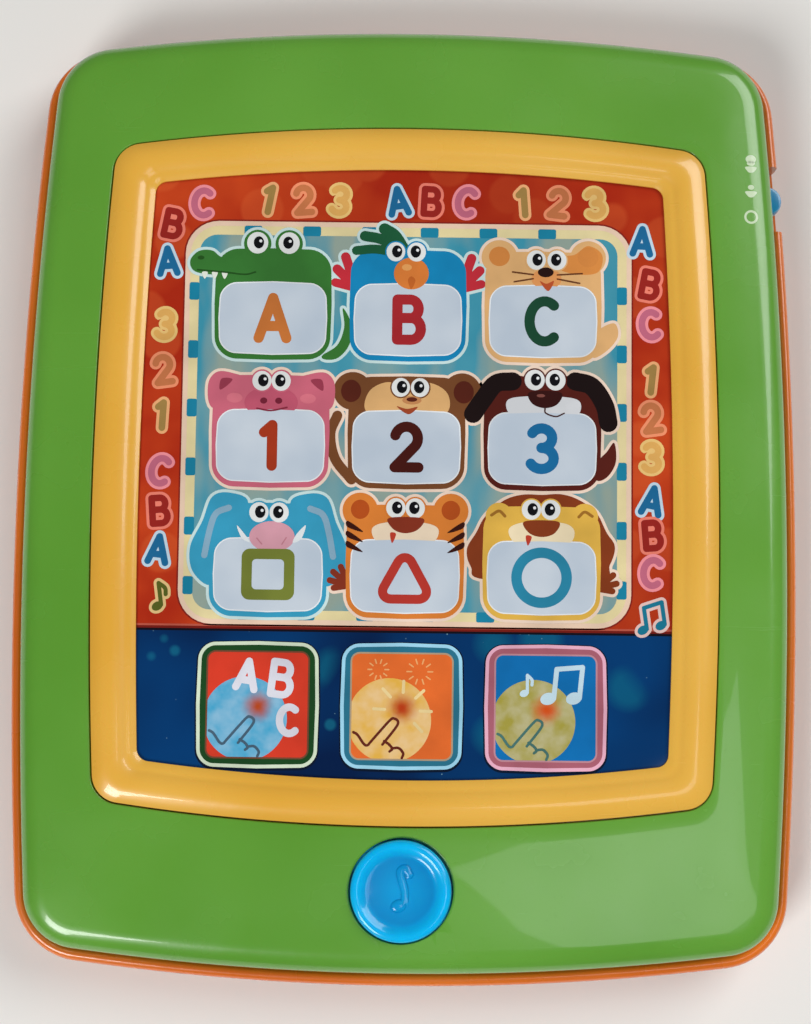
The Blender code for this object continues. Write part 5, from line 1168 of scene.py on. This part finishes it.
# each entry: shape, ink, layer, the shape's own numbers, and True where it casts the pale outline
animals = {
    "crocodile": ["3a7a34", "cool",
        ("blob", "3a7a34", 4, [(4, 16.2), (-5, 15.6), (-9.6, 15.6), (-12.6, 14.8), (-15.0, 16.4),
         (-18.2, 16.2), (-20.2, 13.8), (-19.0, 11.2), (-14, 10.4), (-8, 10.2), (2, 8)], True),
        ("oval", "26561f", 5, (-17.6, 14.6), 0.8, 0.5),
        *ovals("3a7a34", 5, (-4.0, 3.6), 18.2, 3.3, 3.4, True),
        *[("blob", "e8ece0", 6, [(x - 0.7, 11.0), (x + 0.7, 11.0), (x, 9.4)]) for x in (-16.6, -14.2, -11.8)],
        ("stroke", "24521e", 6, [(-18.4, 11.6), (-12, 11.1), (-7, 10.6), (-4.4, 11.2)], 0.4),
        ("blob", "3a7a34", 3, [(12, -9), (15.6, -6.4), (17.2, -2), (16.8, 2.6), (18.8, -1), (18.6, -6),
         (16, -9.4), (13, -10)], True),
        *eyes(18.4, 3.8, -0.2, 2.55)],
    "parrot": ["1688bc", "cool",
        ("stroke", "1f5c3a", 6, [(-1.4, 17.6), (-3.4, 20.6), (-5.9, 22.2)], 2.8, True),
        ("stroke", "1f5c3a", 6, [(-2.6, 17.2), (-6.6, 19.6), (-10.6, 20.4)], 2.5, True),
        ("stroke", "1f5c3a", 6, [(-3.2, 16.4), (-8, 17.2), (-12.6, 16.8)], 2.2, True),
        *[("stroke", "c8303c", 3, [(side * 12.6, 7.6), (side * x, y)], width, True) for side in (-1, 1)
         for x, y, width in ((15.2, 15.2, 2.3), (17.2, 12.2, 2.3), (17.6, 8.9, 2.1))],
        ("oval", "e2813a", 8, (0.7, 11.3), 4.2, 3.9),
        ("blob", "c9682a", 9, [(0.7, 7.5), (1.7, 9.6), (0.7, 10.6), (-0.1, 9.6)]),
        ("oval", "f0a860", 9, (-0.4, 12.8), 1.2, 0.8),
        *eyes(16.6, 2.5, -0.6, 2.25)],
    "cat": ["e7b478", "warm",
        *ovals("e7b478", 3, (-10.6, 10.8), 15.6, 4.3, 4.2, True),
        *ovals("d98a44", 5, (-10.6, 10.8), 15.8, 2.5, 2.4),
        ("blob", "df8f46", 4, [(1.8, 16.2), (7.2, 16.3), (10.8, 18.6), (14.2, 16.4), (13.2, 12.2), (8, 11.6),
         (3, 13.2)]),
        ("oval", "e89c5c", 7, (0.8, 10.4), 3.6, 2.6),
        ("oval", "2a1210", 9, (0.6, 12.0), 1.9, 1.2),
        ("blob", "c2552e", 9, [(-0.8, 9.8), (0.8, 9.2), (2.6, 9.9), (1.2, 7.4)]),
        *lines("6a3a20", 0.36, [(3.4, 11.4), (9.4, 11.8)], [(3.4, 10.4), (8.8, 9.4)], [(-2.4, 11.4),
         (-7.4, 12)], [(-2.4, 10.4), (-7, 9.6)]),
        ("blob", "e7b478", 3, [(12, -8.6), (15.4, -7), (18, -3.6), (17.4, -0.4), (14.8, -1), (13, -3)], True),
        *eyes(15.0, 2.5, 0.8, 2.3)],
    "pig": ["d36a7e", "warm",
        ("blob", "d36a7e", 3, [(-14.2, 9), (-15.2, 14.6), (-13.2, 17.6), (-9.4, 17.4), (-6.4, 15.6), (-8, 9)],
         True),
        ("blob", "d36a7e", 3, [(14.2, 9), (15.2, 14.6), (13.2, 17.6), (9.4, 17.4), (6.4, 15.6), (8, 9)],
         True),
        ("blob", "9c3c50", 6, [(-12.4, 13.4), (-12, 16), (-9.4, 15.9), (-10.8, 14.2)]),
        ("blob", "9c3c50", 6, [(12.4, 13.4), (12, 16), (9.4, 15.9), (10.8, 14.2)]),
        ("oval", "c75a72", 7, (0, 10.4), 6.4, 3.9),
        *ovals("7a2438", 8, (-1.8, 1.8), 10.8, 0.85, 0.75),
        *ovals("e07888", 6, (-8.8, 8.8), 11.4, 1.9, 1.2),
        ("stroke", "8a2c40", 9, [(-3.4, 8.9), (0, 8.4), (3.8, 9.2)], 0.4),
        *eyes(15.6, 2.3, 0, 2.3)],
    "monkey": ["7a4a2a", "warm",
        *ovals("7a4a2a", 3, (-13.0, 13.2), 13.4, 4.6, 4.6, True),
        *ovals("5a2418", 6, (-13.4, 13.6), 13.4, 2.4, 2.7),
        ("blob", "e3b276", 6, [(-10, 9), (-9, 13.4), (-5, 15.6), (0, 14.9), (5.4, 15.6), (9.6, 13.2), (10, 9),
         (6, 6.8), (-6, 6.8)]),
        ("oval", "c98a58", 8, (1.2, 11.3), 2.3, 1.0),
        ("oval", "5a2418", 9, (1.2, 11.5), 1.3, 0.55),
        ("blob", "a84a2a", 9, [(-2.4, 9.8), (0, 9.2), (2.6, 9.7), (0.4, 7.9)]),
        ("stroke", "7a4a2a", 3, [(-13, -8), (-17, -3), (-18.2, 3), (-16.6, 7.4)], 2.4, True),
        *eyes(14.4, 2.3, 0.8, 2.2)],
    "dog": ["5a2018", "warm",
        ("blob", "5a2018", 3, [(-10, 10), (-9, 17.4), (0, 16.8), (9, 17.4), (10, 10)], True),
        ("stroke", "1c1010", 6, [(-7.2, 16.2), (-11.2, 15.6), (-14.2, 11.8), (-16.6, 8.2)], 4.4, True),
        ("stroke", "1c1010", 6, [(7.8, 16.4), (11.8, 15.2), (14.8, 10.8), (15.8, 6.4)], 4.4, True),
        ("blob", "e4e6ea", 7, [(-8.4, 11.6), (-4, 12.6), (4.4, 12.6), (8.8, 11.6), (8.6, 8.4), (4, 6.4),
         (-4, 6.4), (-8, 8.4)]),
        ("blob", "3a1412", 9, [(-3.4, 13.4), (0.6, 14), (4.6, 13.4), (3.6, 10.8), (0.6, 9.8), (-2.4, 10.8)]),
        ("oval", "8a5048", 10, (-0.4, 12.8), 1.0, 0.4),
        ("stroke", "4a2420", 9, [(0.6, 9.8), (0.8, 8.6), (3.2, 7.8), (5.2, 8.6)], 0.36),
        ("blob", "5a2018", 3, [(13, -7.4), (15.6, -6.6), (17.6, -3), (17.2, 1.6), (15.4, -0.6), (13.4, -3)],
         True),
        *eyes(16.6, 2.5, 0.6, 2.4)],
    "elephant": ["3aa0c4", "cool",
        ("blob", "3aa0c4", 3, [(-5, 17), (-9.4, 19.4), (-13.6, 18.4), (-15.8, 12.6), (-18.6, 6.4),
         (-17.8, 0.4), (-13, -2.4), (-9, 8)], True),
        ("blob", "3aa0c4", 3, [(5, 17), (9.4, 19.4), (13.8, 18.4), (16, 12.6), (18.6, 6.4), (18, 0.4),
         (13, -2.4), (9, 8)], True),
        ("stroke", "8ab0c6", 6, [(-9.6, 15.8), (-12.6, 14.4), (-14, 10.6), (-15.2, 4.4)], 1.5),
        ("stroke", "8ab0c6", 6, [(9.8, 15.8), (12.8, 14.4), (14.2, 10.6), (15.4, 4.4)], 1.5),
        ("oval", "dca0ae", 8, (0.8, 9.0), 5.4, 3.7),
        *lines("c4808e", 0.3, [(-2.8, 8.6), (-1.6, 7.2)], [(4.2, 8.8), (3.2, 7.2)]),
        ("blob", "e8eef0", 9, [(-5.6, 9.4), (-7.6, 11.6), (-6.4, 8.6), (-4.4, 7.6)]),
        ("blob", "e8eef0", 9, [(6.6, 9.6), (8.8, 11.8), (7.8, 8.6), (5.8, 7.6)]),
        *eyes(14.8, 2.4, 0, 2.3)],
    "tiger": ["e08236", "warm",
        *ovals("e08236", 3, (-10.8, 10.8), 15.6, 4.2, 4.2, True),
        *ovals("b8501c", 5, (-10.8, 10.8), 15.8, 2.2, 2.3),
        ("blob", "f2dcc0", 7, [(-7.8, 11.4), (-4, 12.8), (4, 12.8), (7.8, 11.4), (7, 8.4), (3, 7.2),
         (-3, 7.2), (-7, 8.4)]),
        ("blob", "8a3420", 9, [(-4.2, 13.6), (0, 14.1), (4.4, 13.6), (3.0, 11.1), (0, 10.2), (-2.8, 11.1)]),
        ("blob", "c2402c", 9, [(-3.6, 10.2), (-2.2, 10.0), (-3.1, 7.8)]),
        *[("blob", "3a140e", 8, [(side * 13.7, y + 2.6), (side * 10, y), (side * 13.7, y + 1.1)])
          for side in (-1, 1) for y in (10.4, 8.0, 5.6)],
        *paw("8a3420", -1),
        *eyes(16.2, 2.3, 0, 2.3)],
    "lion": ["e8b84e", "warm",
        ("blob", "8a3c1c", 3, [(-9, 18.4), (-4.6, 19.8), (0, 19.8), (4.6, 20.0), (9, 18.6), (13, 15.6),
         (15.4, 11), (17.4, 7.6), (16.2, 3.2), (13.2, -0.6), (-13.2, -0.6), (-16.8, 2.4), (-17.8, 6.6),
         (-15.6, 10.6), (-13.4, 14.6)], True),
        *ovals("e8b84e", 4, (-10.2, 10.2), 14.6, 3.2, 3.2),
        ("stroke", "a4702a", 6, [(-12, 14.8), (-10.2, 15.8), (-8.8, 14.6)], 0.7),
        ("stroke", "a4702a", 6, [(12, 14.8), (10.2, 15.8), (8.8, 14.6)], 0.7),
        ("blob", "f4e2bc", 7, [(-7.8, 11.6), (-4, 13.2), (4.4, 13.2), (7.6, 11.6), (7, 8.6), (3, 7.4),
         (-3, 7.4), (-6.8, 8.6)]),
        ("blob", "8a3c1c", 9, [(-4.4, 13.2), (0, 13.7), (4.2, 13.2), (3.0, 10.6), (0, 9.7), (-3.0, 10.6)]),
        ("blob", "c2402c", 9, [(-3.8, 9.9), (-2.4, 9.7), (-3.3, 7.6)]),
        *paw("8a3c1c", 1),
        *eyes(16.2, 2.3, -0.2, 2.3)]
}
grid = [[("crocodile", "A", "d07a3a"), ("parrot", "B", "a8282e"), ("cat", "C", "1c4a34")],
        [("pig", "1", "a8381c"), ("monkey", "2", "4a1812"), ("dog", "3", "1c72a8")],
        [("elephant", "square", "788236"), ("tiger", "triangle", "b8382e"), ("lion", "ring", "2c88a8")]]


def layShape(art, entry, at, tint, rimTone, s):
    kind, colour, layer, *numbers = entry
    colour = rimTone if colour == "skin" else colour
    if kind == "oval":
        place, rx, ry = numbers[:3]
        points = oval(Vector(place) + Vector(at), rx, ry)
    elif kind == "blob":
        points = moved(blob(numbers[0]), at)
    else:
        line, width = numbers[:2]
        path = moved(smoothPath(line, 6), at)
        points = strokePoints(path, width)
    if numbers[-1] is True:
        isStroke = kind == "stroke"
        outer = strokePoints(path, width + 2 * s["outline"]) if isStroke else widened(points, s["outline"])
        layFlat(art, outer, tint, 1)
    layFlat(art, points, colour, layer)


def laySign(art, sign, at, colour, s):
    at = Vector(at)
    if sign == "square":
        layFlat(art, roundBox(at, 12.6, 12.2, 2.0), colour, 8)
        layFlat(art, roundBox(at, 7.6, 7.2, 1.0), pearlInk, 9)
    elif sign == "ring":
        layFlat(art, oval(at, 7.2, steps=64), colour, 8)
        layFlat(art, oval(at, 4.7, steps=64), pearlInk, 9)
    elif sign == "triangle":
        for reach, layer, tone in ((2.4, 8, colour), (0.2, 9, pearlInk)):
            corners = [at + Vector(p) for p in ((-4.3, -4.2), (4.3, -4.2), (0, 3.6))]
            layFlat(art, widened(refine(roundedCorners(corners, 1.2), 2), reach), tone, layer)
    else:
        layGlyph(art, sign, at, s["glyphHeight"], s["glyphStroke"], colour, 8)


def roundedCorners(corners, radius):
    found = []
    for before, corner, after in zip(corners[-1:] + corners[:-1], corners, corners[1:] + corners[:1]):
        start = corner + (before - corner).normalized() * radius
        end = corner + (after - corner).normalized() * radius
        for step in range(6):
            t = step / 5
            found.append(start.lerp(corner, t).lerp(corner.lerp(end, t), t))
    return found


def pearlWindow():
    material, shader, spot = startMaterial("pearlWindow", Roughness=0.4, Coat_Weight=0.9, Coat_Roughness=0.05)
    base = drifting(material, spot, (55, 2), (0.35, 0.65), "b8c5d3", "cad4de")
    return feedRippled(material, shader, spot, base)


pearlInk = pearlWindow()


def buildCards(s):
    for row, cards in enumerate(grid):
        for column, (animal, sign, signColour) in enumerate(cards):
            art = newArt(6)
            at = ((column - 1) * printSettings["columnPitch"],
                  printSettings["gridY"] + (1 - row) * printSettings["rowPitch"])
            skinTone, tint, *shapes = animals[animal]
            tintInk = outlineTint[tint]
            middle = (at[0], at[1] + (s["lowY"] + s["highY"]) / 2)
            body = roundBox(middle, s["width"], s["highY"] - s["lowY"], s["corner"], 0.5)
            layFlat(art, widened(body, s["outline"]), tintInk, 1)
            layFlat(art, body, skinTone, 3.4)
            for entry in shapes:
                layShape(art, entry, at, tintInk, skinTone, s)
            pane = roundBox(at, s["windowWidth"], s["windowHeight"], 3.2, 0.6)
            layFlat(art, widened(pane, 0.3), "eef2f4", 6.2)
            layFlat(art, pane, pearlInk, 7)
            laySign(art, sign, at, signColour, s)
            finishArt("printCard" + animal.capitalize(), art)


buildCards(cardSettings)
print("cards done")

# three mode pads in the navy band, each a framed picture of a hand pressing a disc

padSettings = {"width": 26.5, "height": 27.4, "corner": 3.0, "fieldWidth": 23.6, "fieldHeight": 24.6,
               "discRadius": 9.9, "discX": -2.9, "discY": -3.3}
pads = [{"frame": "1c4a22", "outline": "dcebd0", "line": "7a4a34", "field": "e0402a", "disc": "44a4cc",
         "hand": "4a6478",
         "glow": "b4481e"},
        {"frame": "2c7690", "outline": "a4dcf4", "line": "b4a084", "field": "ec7030", "disc": "e2b04a",
         "hand": "6a2a1c",
         "glow": "b83c14"},
        {"frame": "b06474", "outline": "f2b6cc", "line": "c8909a", "field": "1074ba", "disc": "a49a42",
         "hand": "4a7670",
         "glow": "d0501a"}]


def glowInk(name, centre, inner, outer, radius):
    # a soft round glow that fades into the disc below it
    material, shader, spot = startInk(name)
    flat = addNode(material, "VectorMath", [(0, spot)], operation="MULTIPLY")
    flat.inputs[1].default_value = (1, 1, 0)
    away = addNode(material, "VectorMath", [(0, flat.outputs[0])], operation="DISTANCE")
    away.inputs[1].default_value = (centre[0] * mm, centre[1] * mm, 0)
    ragged = addNode(material, "Math", [(0, noise(material, spot, 500, 2))], operation="MULTIPLY_ADD")
    ragged.inputs[1].default_value = 0.0012
    material.node_tree.links.new(away.outputs["Value"], ragged.inputs[2])
    fade = addNode(material, "MapRange", [("Value", ragged.outputs[0])], interpolation_type="SMOOTHSTEP",
                   From_Min=0.15 * radius * mm, From_Max=radius * mm).outputs["Result"]
    grain = spread(material, noise(material, spot, 260, 2), 0.3, 0.7)
    disc = blendColours(material, grain, paint(outer),
                        blendColours(material, 0.2, paint(outer), paint("ffffff")))
    feed(material, shader, Base_Color=blendColours(material, fade, paint(inner), disc))
    return material


def layHand(art, at, colour, width, layer):
    # one pointing finger, the folded ones under it and the wrist, all as plain lines
    finger = [(-11.3, -6.2), (-10.3, -6.8), (-8.8, -8.9), (-7.9, -9.2), (-7.0, -8.2), (-2.8, -3.4),
              (-1.7, -2.9), (-0.8, -3.6),
              (-1.3, -5.0), (-4.4, -9.0)]
    folds = [[(-4.0, -8.2), (-2.8, -9.0), (-2.1, -10.0), (-2.7, -10.6)],
             [(-2.2, -9.9), (-0.6, -9.8), (0.5, -11.0), (0.2, -12.1)]]
    for line in (finger, *folds):
        layFlat(art, strokePoints(moved(smoothPath(line, 5), at), width), colour, layer)


def buildPads(s):
    for index, tones in enumerate(pads):
        art = newArt()
        at = Vector(((index - 1) * printSettings["padPitch"] - 0.35, printSettings["padY"]))
        layFlat(art,
                roundBox(at + Vector((0, -0.2)), s["width"] + 2.2, s["height"] + 2.3, s["corner"] + 1, 0.5),
                "06162e", 1)
        layFlat(art, roundBox(at, s["width"] + 1.5, s["height"] + 1.5, s["corner"] + 0.7, 0.5),
                tones["outline"], 2)
        layFlat(art, roundBox(at, s["width"], s["height"], s["corner"], 0.4), tones["frame"], 3)
        layFlat(art, roundBox(at, s["fieldWidth"] + 0.8, s["fieldHeight"] + 0.8, 2.2), tones["line"], 4)
        layFlat(art, roundBox(at, s["fieldWidth"], s["fieldHeight"], 1.8), tones["field"], 5)
        centre = at + Vector((s["discX"], s["discY"]))
        halfWidth, halfHeight = s["fieldWidth"] / 2, s["fieldHeight"] / 2
        disc = [Vector((max(p.x, at.x - halfWidth), max(p.y, at.y - halfHeight)))
                for p in oval(centre, s["discRadius"], steps=72)]
        glow = glowInk(f"glow{index}", at + Vector((0.1, -0.4)), tones["glow"], tones["disc"], 5.2)
        layFlat(art, disc, glow, 6)
        if index == 1:
            for turn in range(0, 360, 45):
                way = wayAt(turn + 88)
                if way.y > -0.8:
                    start = at + Vector((0.2, -0.9)) + way * 4.2
                    layFlat(art, strokePoints([start, start + way * 2.6], 0.75), "f3d89a", 8)
            for x, y, reach in ((-5.6, 8.6, 2.5), (4.2, 8.2, 3.1)):
                for turn in range(0, 360, 36):
                    way = wayAt(turn)
                    start = at + Vector((x, y)) + way * reach * 0.62
                    layFlat(art, strokePoints([start, start + way * reach * 0.36], 0.34), "f6b070", 7)
        elif index == 0:
            for glyph, x, y, size, turn in (("A", -2.6, 7.0, 6.4, -0.15), ("B", 5.4, 6.2, 7.6, -0.12),
                                            ("C", 7.3, -3.6, 6.2, 0.0)):
                layGlyph(art, glyph, at + Vector((x, y)), size, 1.75, "e4e4ee", 8, turn)
        else:
            layGlyph(art, "quaver", at + Vector((-4.9, 5.4)), 5.4, 0.75, "cfeaf6", 8)
            layGlyph(art, "notes", at + Vector((4.3, 5.6)), 9.4, 1.15, "cfeaf6", 8, -0.1)
        layHand(art, at, tones["hand"], 0.62, 9)
        finishArt(f"printPad{index + 1}", art)


buildPads(padSettings)
print("pads done")

# small volume marks on the green face, laid over its curve

iconSettings = {"x": 82.75, "loudY": 81.8, "lowY": 75.3, "offY": 68.8, "lift": 0.03, "thickness": 0.04}


def buildVolumeMarks(s):
    shell = BVHTree.FromObject(frontShell, bpy.context.evaluated_depsgraph_get())
    white = glossyInk("markWhite", "e2efd6", "cfe2bd")
    bm = bmesh.new()
    ringOuter, ringInner = oval((0, 0), 1.7, steps=36), oval((0, 0), 1.15, steps=36)
    cup = [(-1.35, -0.2), (1.35, -0.2), (0.9, -1.2), (0.35, -1.6), (-0.35, -1.6), (-0.9, -1.2)]
    shapes = [(blob(cup), s["loudY"] - 0.4), (oval((0, 1.35), 1.3, 1.0), s["loudY"]),
              (oval((0, 0.3), 1.0, 0.6), s["loudY"]),
              (blob(cup), s["lowY"]), (oval((0, 0.85), 0.75, 0.6), s["lowY"])]
    for points, y in shapes:
        fillLoop(bm, startLoop(bm, raised(moved(points, (s["x"], y)), 0)))
    outer, inner = (startLoop(bm, raised(moved(points, (s["x"], s["offY"])), 0))
                    for points in (ringOuter, ringInner))
    for index in range(len(outer)):
        follow = (index + 1) % len(outer)
        bm.faces.new((outer[index], outer[follow], inner[follow], inner[index]))
    bmesh.ops.triangulate(bm, faces=bm.faces)
    for vert in bm.verts:
        hit = shell.ray_cast(Vector((vert.co.x * mm, vert.co.y * mm, 0.05)), Vector((0, 0, -1)))[0]
        vert.co.z = hit.z / mm + s["lift"]
    for face in bm.faces:
        face.normal_update()
        if face.normal.z < 0:
            face.normal_flip()
    finishPrint("volumeMarks", bm, [white], s["thickness"])


buildVolumeMarks(iconSettings)

# two cells with a printed jacket, a nickel cap and a flat end

cellSettings = {"capRadius": 2.7, "bevel": 0.9, "capHeight": 1.2}


def batteryJacket():
    material, shader, spot = startMaterial("batteryJacket", Coat_Weight=0.5, Coat_Roughness=0.12)
    parts = addNode(material, "SeparateXYZ", [("Vector", spot)])
    band = spread(material, parts.outputs["X"], 0.012, 0.0125)
    base = blendColours(material, band, paint("2b3036"), paint("c06a2c"))
    scuffs = spread(material, noise(material, spot, 320, 5, 0.7), 0.6, 0.72, 0, 0.5)
    base = blendColours(material, scuffs, base, paint("77797a"))
    rough = spread(material, noise(material, spot, 140, 3), 0.3, 0.7, 0.28, 0.46)
    normal = bumpFrom(material, noise(material, spot, 240, 3), 0.08, 0.0002)
    feed(material, shader, Base_Color=base, Roughness=rough, Normal=normal)
    return material


nickelPlate = metal("nickelPlate", "d8d4c8", "b9b4a6", 0.24)


def buildCell(node, way, s, materials):
    # spun upright, then laid along X with its cap towards way
    low, high = cornersOf(node)
    length, radius, bevel = high.x - low.x, (high.z - low.z) / 2, s["bevel"]
    body = length - s["capHeight"]
    profile = [(0, 0.25), (radius - 2.2, 0.25), (radius - 1.9, 0), (radius - bevel, 0)]
    for step in range(1, 7):
        turn = math.pi / 2 * step / 6
        profile.append((radius - bevel + bevel * math.sin(turn), bevel - bevel * math.cos(turn)))
    for step in range(7):
        turn = math.pi / 2 * step / 6
        profile.append((radius - bevel + bevel * math.cos(turn), body - bevel + bevel * math.sin(turn)))
    profile += [(s["capRadius"] + 1.3, body - 0.1), (s["capRadius"] + 0.5, body - 0.35),
                (s["capRadius"], body - 0.3),
                (s["capRadius"], length - 0.35), (s["capRadius"] - 0.35, length), (0, length)]
    cell = spun((0, 0), profile, 64)
    bmesh.ops.rotate(cell, verts=cell.verts, matrix=Matrix.Rotation(math.pi / 2 * way, 3, "Y"))
    start = low if way > 0 else high
    bmesh.ops.translate(cell, verts=cell.verts, vec=(start.x, (low.y + high.y) / 2, (low.z + high.z) / 2))
    for face in cell.faces:
        reach = abs(face.calc_center_median().x - start.x)
        face.material_index = 1 if reach > body - bevel * 0.6 or reach < bevel * 0.6 else 0
    finishPiece("cell" + node[-1], cell, "casing", materials, [node])


jacket = batteryJacket()
buildCell("battery_1", 1, cellSettings, [jacket, nickelPlate])
buildCell("battery_2", -1, cellSettings, [jacket, nickelPlate])
print("marks and cells done")

# the inner pieces keep their exact shapes and take a finish each


def laminate(name, light, dark):
    # phenolic board with copper tracks that show through its lacquer
    material, shader, spot = startMaterial(name, Coat_Weight=0.3, Coat_Roughness=0.2)
    base = drifting(material, spot, (420, 5, 0.7), (0.3, 0.7), dark, light)
    tracks = addNode(material, "TexBrick", [("Vector", spot)], Scale=180, Mortar_Size=0.06, Row_Height=0.5,
                     Color1=(1, 1, 1, 1), Color2=(1, 1, 1, 1), Mortar=(0, 0, 0, 1)).outputs["Fac"]
    base = blendColours(material, spread(material, tracks, 0.3, 0.7, 0, 0.45), base, paint("b98a44"))
    normal = bumpFrom(material, tracks, 0.2, 0.00005)
    feed(material, shader, Base_Color=base, Normal=normal)
    return material


def satinFilm():
    material, shader, spot = startMaterial("satinFilm", Coat_Weight=0.3, Coat_Roughness=0.2)
    base = drifting(material, spot, (60, 3), (0.3, 0.7), "c9ccc6", "dadcd6")
    grid = addNode(material, "TexBrick", [("Vector", spot)], Scale=65, Mortar_Size=0.02, Row_Height=0.5,
                   offset=0.0,
                   Color1=(0, 0, 0, 1), Color2=(0, 0, 0, 1), Mortar=(1, 1, 1, 1)).outputs["Fac"]
    base = blendColours(material, grid, base, paint("9aa09c"))
    rough = spread(material, noise(material, spot, 130, 3), 0.3, 0.7, 0.25, 0.4)
    feed(material, shader, Base_Color=base, Roughness=rough)
    return material


def paperCone():
    material, shader, spot = startMaterial("paperCone")
    fibres = noise(material, spot, 900, 6, 0.75)
    base = blendColours(material, spread(material, fibres, 0.35, 0.7), paint("1d1d1e"), paint("333231"))
    rough = spread(material, noise(material, spot, 300, 3), 0.3, 0.7, 0.8, 0.95)
    feed(material, shader, Base_Color=base, Roughness=rough, Normal=bumpFrom(material, fibres, 0.35, 0.0003))
    return material


nodeFinishes = [
    ([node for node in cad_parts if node.startswith(("board_screw", "plate_screw", "speaker_screw"))]
     + ["slide_switch_case", "speaker_frame"], metal("zincPlate", "c2c4c4", "9fa2a4", 0.34)),
    (["contact_bridge", "contact_plate_negative", "contact_plate_positive", "contact_spring_1",
      "contact_spring_2"], nickelPlate),
    (["speaker_magnet"], metal("magnetSteel", "6a6b70", "4d4e54", 0.45, 6)),
    (["backing_plate"], dullPlastic("greyPlate", "9a9b9c", "85868a", 0.5)),
    (["switch_cable"], dullPlastic("cableGrey", "8f9092", "77787c", 0.45, 0.05)),
    (["membrane_connector"], dullPlastic("whiteNylon", "e6e3d8", "d3cfc2", 0.5)),
    (["speaker_clamp", "slide_switch_lever"], dullPlastic("blackNylon", "26272a", "17181a", 0.48)),
    (["controller_blob"], dullPlastic("epoxyBlob", "1d1d20", "0f0f11", 0.22, 0.03)),
    (["home_button_dome"], dullPlastic("siliconeDome", "c9c9c2", "b4b4ad", 0.62, 0.05)),
    (["main_board", "switch_board"], laminate("phenolicBoard", "8f6a36", "75532a")),
    (["capacitor"], dullPlastic("capacitorSleeve", "26407e", "1b2f63", 0.3, 0.03)),
    (["touch_membrane", "membrane_tail"], satinFilm()),
    (["speaker_cone"], paperCone()),
    (["battery_wire_red", "speaker_wire_red"], dullPlastic("redWire", "c2261e", "a01a16", 0.4, 0.04)),
    (["battery_wire_black", "speaker_wire_black"], dullPlastic("blackWire", "222224", "141416", 0.4, 0.04)),
]


def dressNodes(finishes, sharpTurn=math.radians(35)):
    for names, material in finishes:
        for name in names:
            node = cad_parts[name]
            node.data.materials.clear()
            node.data.materials.append(material)
            node.data.shade_smooth()
            node.data.set_sharp_from_angle(angle=sharpTurn)


dressNodes(nodeFinishes)
print("inner pieces done")

# pale floor, soft light and the camera

stageSettings = {"floorReach": 6.0, "floorColour": "e6e4df", "worldLight": 0.13, "keyPlace": (-0.55, -0.75,
                 0.95), "keySize": 0.5, "keyPower": 11, "fillPlace": (1.15, 0.85, 1.3), "fillSize": 1.2,
                 "fillPower": 22, "panelPlace": (0.22, -0.19, 0.972), "panelWidth": 0.3, "panelHeight": 0.22,
                 "panelTurn": 31, "panelPower": 0.5}


def aimed(thing, target):
    way = Vector(target) - thing.location
    thing.rotation_euler = way.to_track_quat("-Z", "Y").to_euler()


def areaLight(name, place, target, size, power, height=None):
    lamp = bpy.data.lights.new(name, "AREA")
    lamp.energy = power
    lamp.shape = "RECTANGLE"
    lamp.size = size
    lamp.size_y = height or size
    holder = bpy.data.objects.new(name, lamp)
    holder.location = place
    bpy.context.scene.collection.objects.link(holder)
    aimed(holder, target)
    return holder


def buildStage(s):
    bm = bmesh.new()
    bmesh.ops.create_grid(bm, x_segments=1, y_segments=1, size=s["floorReach"])
    mesh = bpy.data.meshes.new("floor")
    bm.to_mesh(mesh)
    bm.free()
    floor = bpy.data.objects.new("floor", mesh)
    bpy.context.scene.collection.objects.link(floor)
    material, shader, spot = startMaterial("paleFloor")
    base = drifting(material, spot, (3, 3), (0.3, 0.7), s["floorColour"], "ebe9e5")
    rough = spread(material, noise(material, spot, 20, 3), 0.3, 0.7, 0.75, 0.9)
    feed(material, shader, Base_Color=base, Roughness=rough)
    floor.data.materials.append(material)
    areaLight("keyLight", s["keyPlace"], (0, 0, 0), s["keySize"], s["keyPower"])
    areaLight("fillLight", s["fillPlace"], (0, 0, 0), s["fillSize"], s["fillPower"])
    panel = areaLight("panelLight", s["panelPlace"], (0, 0, 0), s["panelWidth"], s["panelPower"],
                      s["panelHeight"])
    panel.rotation_euler = (0, 0, math.radians(s["panelTurn"]))
    world = bpy.data.worlds.new("studio")
    world.use_nodes = True
    background = world.node_tree.nodes["Background"]
    background.inputs["Color"].default_value = (0.93, 0.96, 1.0, 1)
    background.inputs["Strength"].default_value = s["worldLight"]
    bpy.context.scene.world = world
    bpy.context.scene.view_settings.view_transform = "Standard"


buildStage(stageSettings)

cameraSettings = {"lens": 70.3, "place": (0.0, -0.0526, 0.498), "forward": (0, 0.102, -0.9948), "turn": 0.72}


def buildCamera(s):
    camera = bpy.data.cameras.new("camera")
    camera.lens = s["lens"]
    camera.clip_start = 0.01
    holder = bpy.data.objects.new("camera", camera)
    forward = Vector(s["forward"]).normalized()
    roll = math.radians(s["turn"])
    across = Vector((math.cos(roll), math.sin(roll), 0))
    across = (across - forward * across.dot(forward)).normalized()
    upwards = across.cross(forward)
    holder.matrix_world = Matrix((across, upwards, -forward)).transposed().to_4x4()
    holder.location = s["place"]
    bpy.context.scene.collection.objects.link(holder)
    bpy.context.scene.camera = holder


buildCamera(cameraSettings)
print("stage and camera done")
